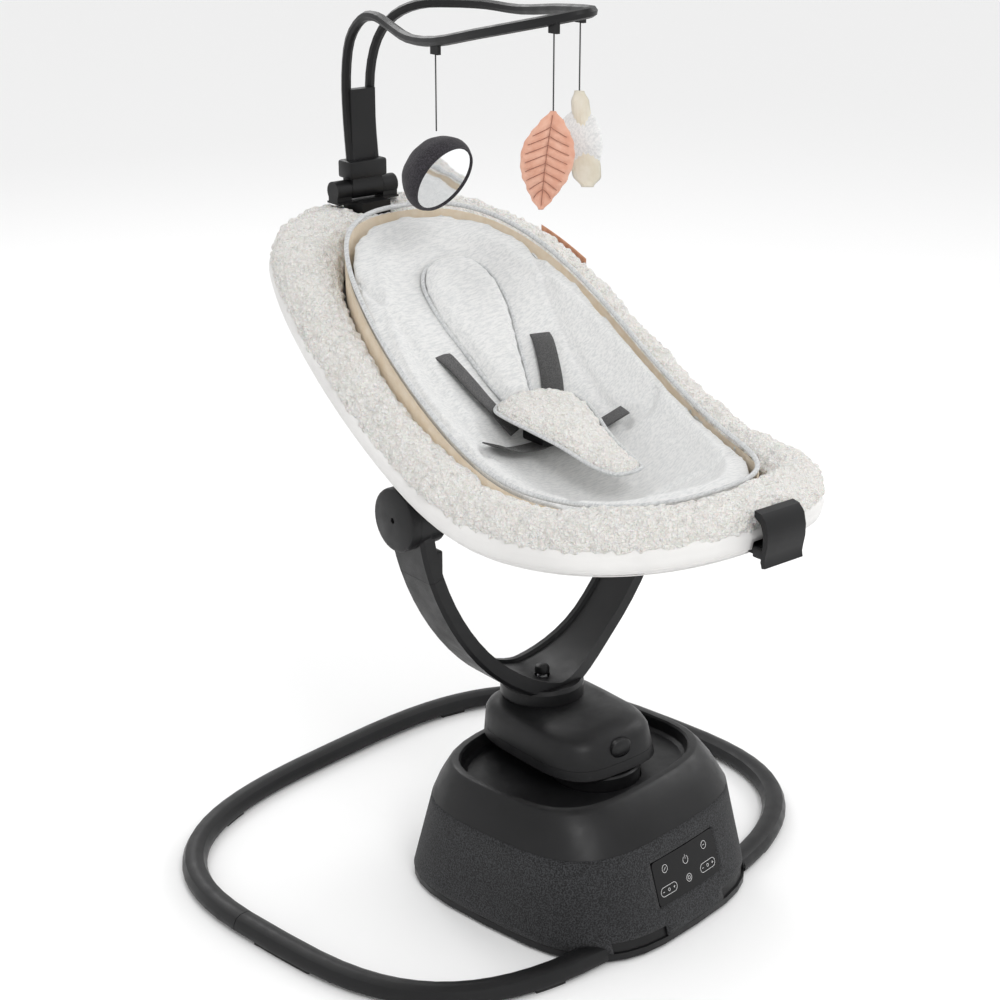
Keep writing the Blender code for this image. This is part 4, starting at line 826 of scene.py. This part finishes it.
def make_border():
    """The boucle ring: stuffed, swollen by simulation, then covered in curls."""
    section = ((0.36, -0.0395), (0.20, -0.0400), (0.05, -0.0400), (0.00, -0.033), (0.01, -0.021),
               (0.09, -0.010), (0.22, -0.004), (0.36, -0.001), (0.52, -0.001), (0.68, -0.004),
               (0.85, -0.011), (0.97, -0.024), (0.93, -0.0375), (0.66, -0.0385))
    border = loft("boucle_border", [rim_ring(*point) for point in section], PILE, "loop")
    half, start, end = BRACKET_SLOT
    carve(border, (-half - 0.003, start - 0.003, 0.650), (half + 0.003, end + 0.003, 0.780))
    plump(border, 0.0055, 0.005, settle_under=-0.05)
    rumple(border, 0.0050, 0.060, seed=3.0, up_only=True)
    rumple(border, 0.0042, 0.0068, seed=11.0)
    settle(border, "seat", "sherpa", "sherpa_border")


def make_cover():
    """The smooth white cloth under the seat, pulled over the frame tube and the shell."""
    tuck = -BORDER_THICK + 0.0130
    wrap = ((0.10, tuck), (0.035, -0.0340), (-0.02, -0.0420), (0.02, -0.0530),
            (0.15, -0.0600), (0.36, -0.0628), (0.60, -0.0636), (1.0, -0.0655))
    depths = [(2.0 - scale, shell_depth(scale) - SHELL_THICK - 0.0065) for scale in BUCKET_SCALES]
    outside = [rim_ring(place, height) for place, height in (*wrap, *depths)]
    inside = [rim_ring(0.125, tuck), rim_ring(0.060, -0.0335), rim_ring(0.005, -0.0420),
              rim_ring(0.045, -0.0510), rim_ring(0.17, -0.0575)]
    inside += [rim_ring(place, height + COVER_THICK) for place, height in (*wrap[5:], *depths)]
    cover = loft("seat_underside", list(reversed(inside)) + outside, COVER_CLOTH, "poles")
    for sign in (-1, 1):
        low, high = sorted((sign * 0.1535, sign * 0.1885))
        carve(cover, (low, HUB_Y - 0.018, 0.460), (high, HUB_Y + 0.018, 0.550))
    carve(cover, (-0.0188, -0.352, 0.4790), (0.0188, -0.300, 0.4985))
    settle(cover, "seat", "white_cloth", "seat_cover")
    for place, drop in ((0.045, -0.0545), (0.30, -0.0640)):
        seam = tube(f"underside_seam_{round(place * 1000)}", rim_ring(place, drop, 160), 0.0007, COVER_CLOTH,
                    cyclic=True, sides=6)
        settle(seam, "seat", "white_cloth")


def make_cushion():
    """The removable insert: a sewn nest whose wings swell between the seams."""
    below = [rim_ring(2.0 - scale, shell_depth(scale) + 0.004, 72) for scale in reversed(BUCKET_SCALES)]
    side = [rim_ring(1.07, -SHELL_DROP + 0.001, 72), rim_ring(1.05, -0.030, 72),
            rim_ring(1.04, below_crest(0.014), 72), rim_ring(1.03, below_crest(0.006), 72),
            rim_ring(1.05, below_crest(0.002), 72), rim_ring(1.10, below_crest(0.003), 72)]
    above = [rim_ring(2.0 - scale, lambda s, y: nest_height(s, y) - 0.002, 72)
             for scale in (0.80, 0.68, 0.56, 0.44, 0.32, 0.20, 0.08)]
    cushion = loft("insert_nest", below + side + above, JERSEY, "poles")
    plump(cushion, 0.0060, 0.006, settle_under=-0.25)
    rumple(cushion, 0.0035, 0.075, seed=7.0, stretch=(1.0, 0.6, 1.0), up_only=True)
    for sign in (-1, 1):
        for seam in SEAMS:
            path = smooth_path([(sign * x, y, 0.0) for x, y in seam], 8)
            groove(cushion, path, depth=0.0050, width=0.010)
    settle(cushion, "seat", "jersey", "insert_cushion")

    edge_line = rim_ring(1.005, below_crest(0.0020), 200)
    edge = tube("insert_piping", edge_line, PIPING * 1.25, PIPING_JERSEY, cyclic=True)
    settle(edge, "seat", "jersey")
    top = below_crest(0.010)
    band_line = ((0.995, -0.036), (0.990, -0.022), (0.990, top), (1.000, top), (1.000, -0.022),
                 (1.005, -0.036))
    band = [rim_ring(place, height, 160) for place, height in band_line]
    strip = loft("side_band", band, SIDE_BAND, "loop")
    settle(strip, "seat", "jersey")


def pad_rings(stations, thick, height, steps=7):
    """Rings along Y of a pad. Each station is (y, half width, lift), smoothed between."""
    path = smooth_path(stations, steps)
    outline = []
    for step in range(28):
        cos, sin = math.cos(2.0 * math.pi * step / 28), math.sin(2.0 * math.pi * step / 28)
        outline.append((math.copysign(abs(cos) ** 0.7, cos), math.copysign(abs(sin) ** 0.8, sin)))
    rings = []
    for y, half, lift in path:
        z = height(y) if height else nest_surface(0.0, y)
        rings.append([Vector((across * half, y, z + lift + thick * (0.5 + 0.5 * up)))
                      for across, up in outline])
    return path, rings


def pad_edge(path, height, thick, lift):
    """The seam line all round a pad, halfway up its side."""
    right = [(half, y) for y, half, _ in path]
    left = [(-half, y) for y, half, _ in reversed(path)]
    points = []
    for x, y in right + left:
        z = height(y) if height else nest_surface(0.0, y)
        points.append(Vector((x, y, z + lift + 0.5 * thick)))
    return points


def make_head_pad():
    stations = ((0.040, 0.018, 0.0040), (0.065, 0.029, 0.0040), (0.090, 0.038, 0.0045),
                (0.120, 0.049, 0.0050), (0.150, 0.049, 0.0060), (0.168, 0.034, 0.0065),
                (0.175, 0.012, 0.0070))
    path, rings = pad_rings(stations, HEAD_PAD_THICK, None)
    pad = loft("head_cushion", rings, JERSEY, "poles")
    plump(pad, 0.0040, 0.0035, settle_under=-0.1)
    settle(pad, "seat", "jersey", "head_pad")
    edge_line = pad_edge(path, None, HEAD_PAD_THICK, 0.0050)
    edge = tube("head_piping", edge_line, PIPING, PIPING_JERSEY, cyclic=True)
    settle(edge, "seat", "jersey")


def crotch_height(y):
    return lerp(0.505, 0.541, smooth_step((y + 0.145) / 0.17))


def make_crotch_pad():
    stations = ((0.042, 0.012, 0.0), (0.036, 0.034, 0.0), (0.020, 0.052, 0.0), (-0.005, 0.054, 0.0),
                (-0.035, 0.046, 0.0), (-0.070, 0.034, 0.0), (-0.110, 0.027, 0.0), (-0.135, 0.020, 0.0),
                (-0.142, 0.008, 0.0))
    path, rings = pad_rings(stations, CROTCH_PAD_THICK, crotch_height)
    pad = loft("crotch_cushion", rings, PILE, "poles")
    plump(pad, 0.0040, 0.003, settle_under=-0.1)
    rumple(pad, 0.0035, 0.007, seed=21.0, up_only=True)
    settle(pad, "seat", "sherpa", "crotch_pad")
    edge_line = pad_edge(path, crotch_height, CROTCH_PAD_THICK, 0.0)
    edge = tube("crotch_piping", edge_line, PIPING, PIPING_JERSEY, cyclic=True)
    settle(edge, "seat", "jersey")


def strap(name, points):
    """A flat strap along a smooth path, with rounded edges and a slight cup across."""
    path = smooth_path(points, 10)
    section = ((-1.0, 0.25), (-0.97, 0.0), (-0.5, 0.08), (0.0, 0.12), (0.5, 0.08), (0.97, 0.0), (1.0, 0.25),
               (1.0, 0.75), (0.97, 1.0), (0.5, 1.08), (0.0, 1.12), (-0.5, 1.08), (-0.97, 1.0), (-1.0, 0.75))
    rings = []
    for i, point in enumerate(path):
        along = (path[min(i + 1, len(path) - 1)] - path[max(i - 1, 0)]).normalized()
        across = Vector((along.y, -along.x, 0.0)).normalized()
        up = across.cross(along)
        rings.append([point + across * wide * STRAP_HALF + up * high * STRAP_THICK
                      for wide, high in section])
    return loft(name, rings, WEBBING)


def make_straps():
    for side, sign in (("left", -1), ("right", 1)):
        route = ((0.070, 0.092, 0.004), (0.067, 0.082, 0.010), (0.060, 0.066, 0.014), (0.051, 0.048, 0.0155),
                 (0.040, 0.031, 0.014), (0.030, 0.014, 0.010))
        points = [(sign * x, y, nest_surface(sign * x, y) + lift) for x, y, lift in route]
        made = strap(f"harness_strap_{side}", points)
        settle(made, "seat", "webbing", f"shoulder_strap_{side}")
    belt = [(x, -0.004 - 0.8 * abs(x) ** 1.5, nest_surface(x, -0.004) + lift)
            for x, lift in ((-0.095, 0.006), (-0.06, 0.006), (-0.025, 0.008), (0.0, 0.0095),
                            (0.025, 0.008), (0.06, 0.006), (0.095, 0.006))]
    settle(strap("harness_belt", belt), "seat", "webbing", "lap_belt")


def make_tag():
    """A folded woven tab at the border's edge."""
    rings = []
    for step in range(25):
        turn = math.radians(lerp(19.0, 31.0, step / 24))
        section = ((-0.035, -0.030), (-0.036, -0.019), (-0.035, -0.009), (-0.030, -0.0075), (-0.015, -0.0075),
                   (-0.010, -0.009), (-0.010, -0.030))
        rings.append([rim_point(*point, turn) for point in section])
    settle(loft("woven_tag", rings, TAG), "seat", "copper_label", "label_tag")


# ---------------------------------------------------------------- toys

def string_end(toy):
    top, length = STRINGS[toy]
    return Vector(top) - Vector((0.0, 0.0, length))


def make_mirror_ball():
    """A knitted half ball, with a sewn edge round the mirror."""
    centre = string_end("mirror") - Vector((0.0, 0.0, MIRROR_DROP))
    profile = smooth_path([(0.0375, 0.0098, 0.0), (0.0385, 0.0122, 0.0), (0.0410, 0.0112, 0.0),
                           (0.0432, 0.0055, 0.0), (0.0420, -0.0040, 0.0), (0.0340, -0.0180, 0.0),
                           (0.0200, -0.0270, 0.0), (0.0040, -0.0298, 0.0)], 4)
    turn = Vector(MIRROR_FACING).to_track_quat("Z", "Y").to_matrix()
    turns = [2.0 * math.pi * step / 64 for step in range(64)]
    rings = [[centre + turn @ Vector((radius * math.cos(t), radius * math.sin(t), height)) for t in turns]
             for radius, height, _ in profile]
    ball = loft("knit_ball", rings, BALL_KNIT, "poles")
    rumple(ball, 0.0008, 0.014, seed=5.0)
    settle(ball, "mirror_toy", "charcoal_jersey", "mirror_toy")
    ring = [centre + turn @ Vector((0.0392 * math.cos(t), 0.0392 * math.sin(t), 0.0125)) for t in turns]
    settle(tube("ball_seam", ring, 0.0011, BALL_KNIT, cyclic=True), "mirror_toy", "charcoal_jersey")


def toy_frame():
    turn = Matrix.Rotation(TOY_FACING, 3, "Z")
    return turn @ Vector((1.0, 0.0, 0.0)), turn @ Vector((0.0, 1.0, 0.0))


def width_at(widths, part):
    place = min(0.9999, max(0.0, part)) * (len(widths) - 1)
    index = int(place)
    return lerp(widths[index], widths[index + 1], smooth_step(place - index))


def pillow_point(top, length, widths, thick, lean, part, turn):
    """A point on a flat stuffed toy, by how far down it is and the turn round it."""
    across, outwards = toy_frame()
    centre = Vector(top) + Vector((0.0, 0.0, -length * part)) + across * lean * part
    swell = thick * max(0.22, math.sin(math.pi * part)) / 2
    flat = math.copysign(abs(math.sin(turn)) ** 1.25, math.sin(turn))
    return centre + across * width_at(widths, part) * math.cos(turn) + outwards * swell * flat


def pillow(name, top, length, widths, thick, lean, finish, steps=44, ribs=0, rib_depth=0.0):
    rings = []
    for row in range(steps + 1):
        part = row / steps
        ring = []
        for i in range(48):
            turn = 2.0 * math.pi * i / 48
            point = pillow_point(top, length, widths, thick, lean, part, turn)
            if ribs:
                axis = pillow_point(top, length, widths, 0.0, lean, part, math.pi / 2)
                point = axis + (point - axis) * (1.0 + rib_depth * math.cos(ribs * turn))
            ring.append(point)
        rings.append(ring)
    return loft(name, rings, finish, "poles")


def leaf_line(top, start, end, face, steps=10):
    """A sewn line on one face of the leaf, from start to end.

    Each is (share of the way down, share of the half width).
    """
    line = []
    for step in range(steps + 1):
        part, side = (lerp(a, b, step / steps) for a, b in zip(start, end))
        turn = math.acos(max(-0.98, min(0.98, side))) * face
        line.append(pillow_point(top, LEAF_LENGTH, LEAF_WIDTHS, LEAF_THICK + 0.0006, LEAF_LEAN, part, turn))
    return line


def make_leaf():
    top = string_end("leaf") - Vector((0.0, 0.0, 0.0003))
    leaf = pillow("stuffed_leaf", top, LEAF_LENGTH, LEAF_WIDTHS, LEAF_THICK, LEAF_LEAN, PEACH)
    lines = []
    for face in (-1, 1):
        lines.append(leaf_line(top, (0.04, 0.0), (0.96, 0.0), face, 30))
        for step in range(8):
            start = 0.78 - 0.09 * step
            for side in (-0.80, 0.80):
                lines.append(leaf_line(top, (start, 0.0), (start + 0.10, side), face))
    for line in lines:
        press_line(leaf, line, 0.0011, 0.0028)
    rumple(leaf, 0.0008, 0.009, seed=2.0)
    settle(leaf, "leaf_toy", "peach_cotton", "leaf_toy")
    stitches = joined("leaf_stitches", [stitched(line, VEIN_THREAD) for line in lines])
    settle(stitches, "leaf_toy", "peach_cotton")


def press_line(obj, line, depth, width):
    """Pulls the surface in round a sewn line."""
    points, normals = mesh_points(obj), mesh_normals(obj)
    line = np.array([tuple(point) for point in line])
    nearest = np.full(len(points), np.inf)
    for point in line:
        nearest = np.minimum(nearest, np.linalg.norm(points - point, axis=1))
    press = np.clip(1.0 - (nearest / width) ** 2, 0.0, 1.0) * depth
    set_points(obj, points - normals * press[:, None])


def stitched(line, finish):
    """A run of thread just over the surface."""
    return tube("stitch", line, 0.00040, finish, sides=6)


def make_pod():
    top = string_end("pod") - Vector((0.0, 0.0, 0.0003))
    pod = pillow("ribbed_pod", top, POD_LENGTH, POD_WIDTHS, POD_THICK, POD_LEAN, CREAM,
                 ribs=16, rib_depth=0.05)
    rumple(pod, 0.0006, 0.012, seed=9.0)
    settle(pod, "pod_toy", "cream_rib", "pod_toy")
    petal_top = top - Vector((0.0, 0.0, PETAL_DROP))
    petal = pillow("pod_petal", petal_top, PETAL_LENGTH, PETAL_WIDTHS, PETAL_THICK, PETAL_LEAN, JERSEY,
                   steps=30)
    rumple(petal, 0.0009, 0.016, seed=4.0)
    settle(petal, "pod_toy", "jersey")


place_camera()
hang_strings()
make_studio()
finish_cad_nodes()
make_panel_icons()
make_base_cloth()
make_border()
make_cover()
make_cushion()
make_head_pad()
make_crotch_pad()
make_straps()
make_tag()
make_mirror_ball()
make_leaf()
make_pod()
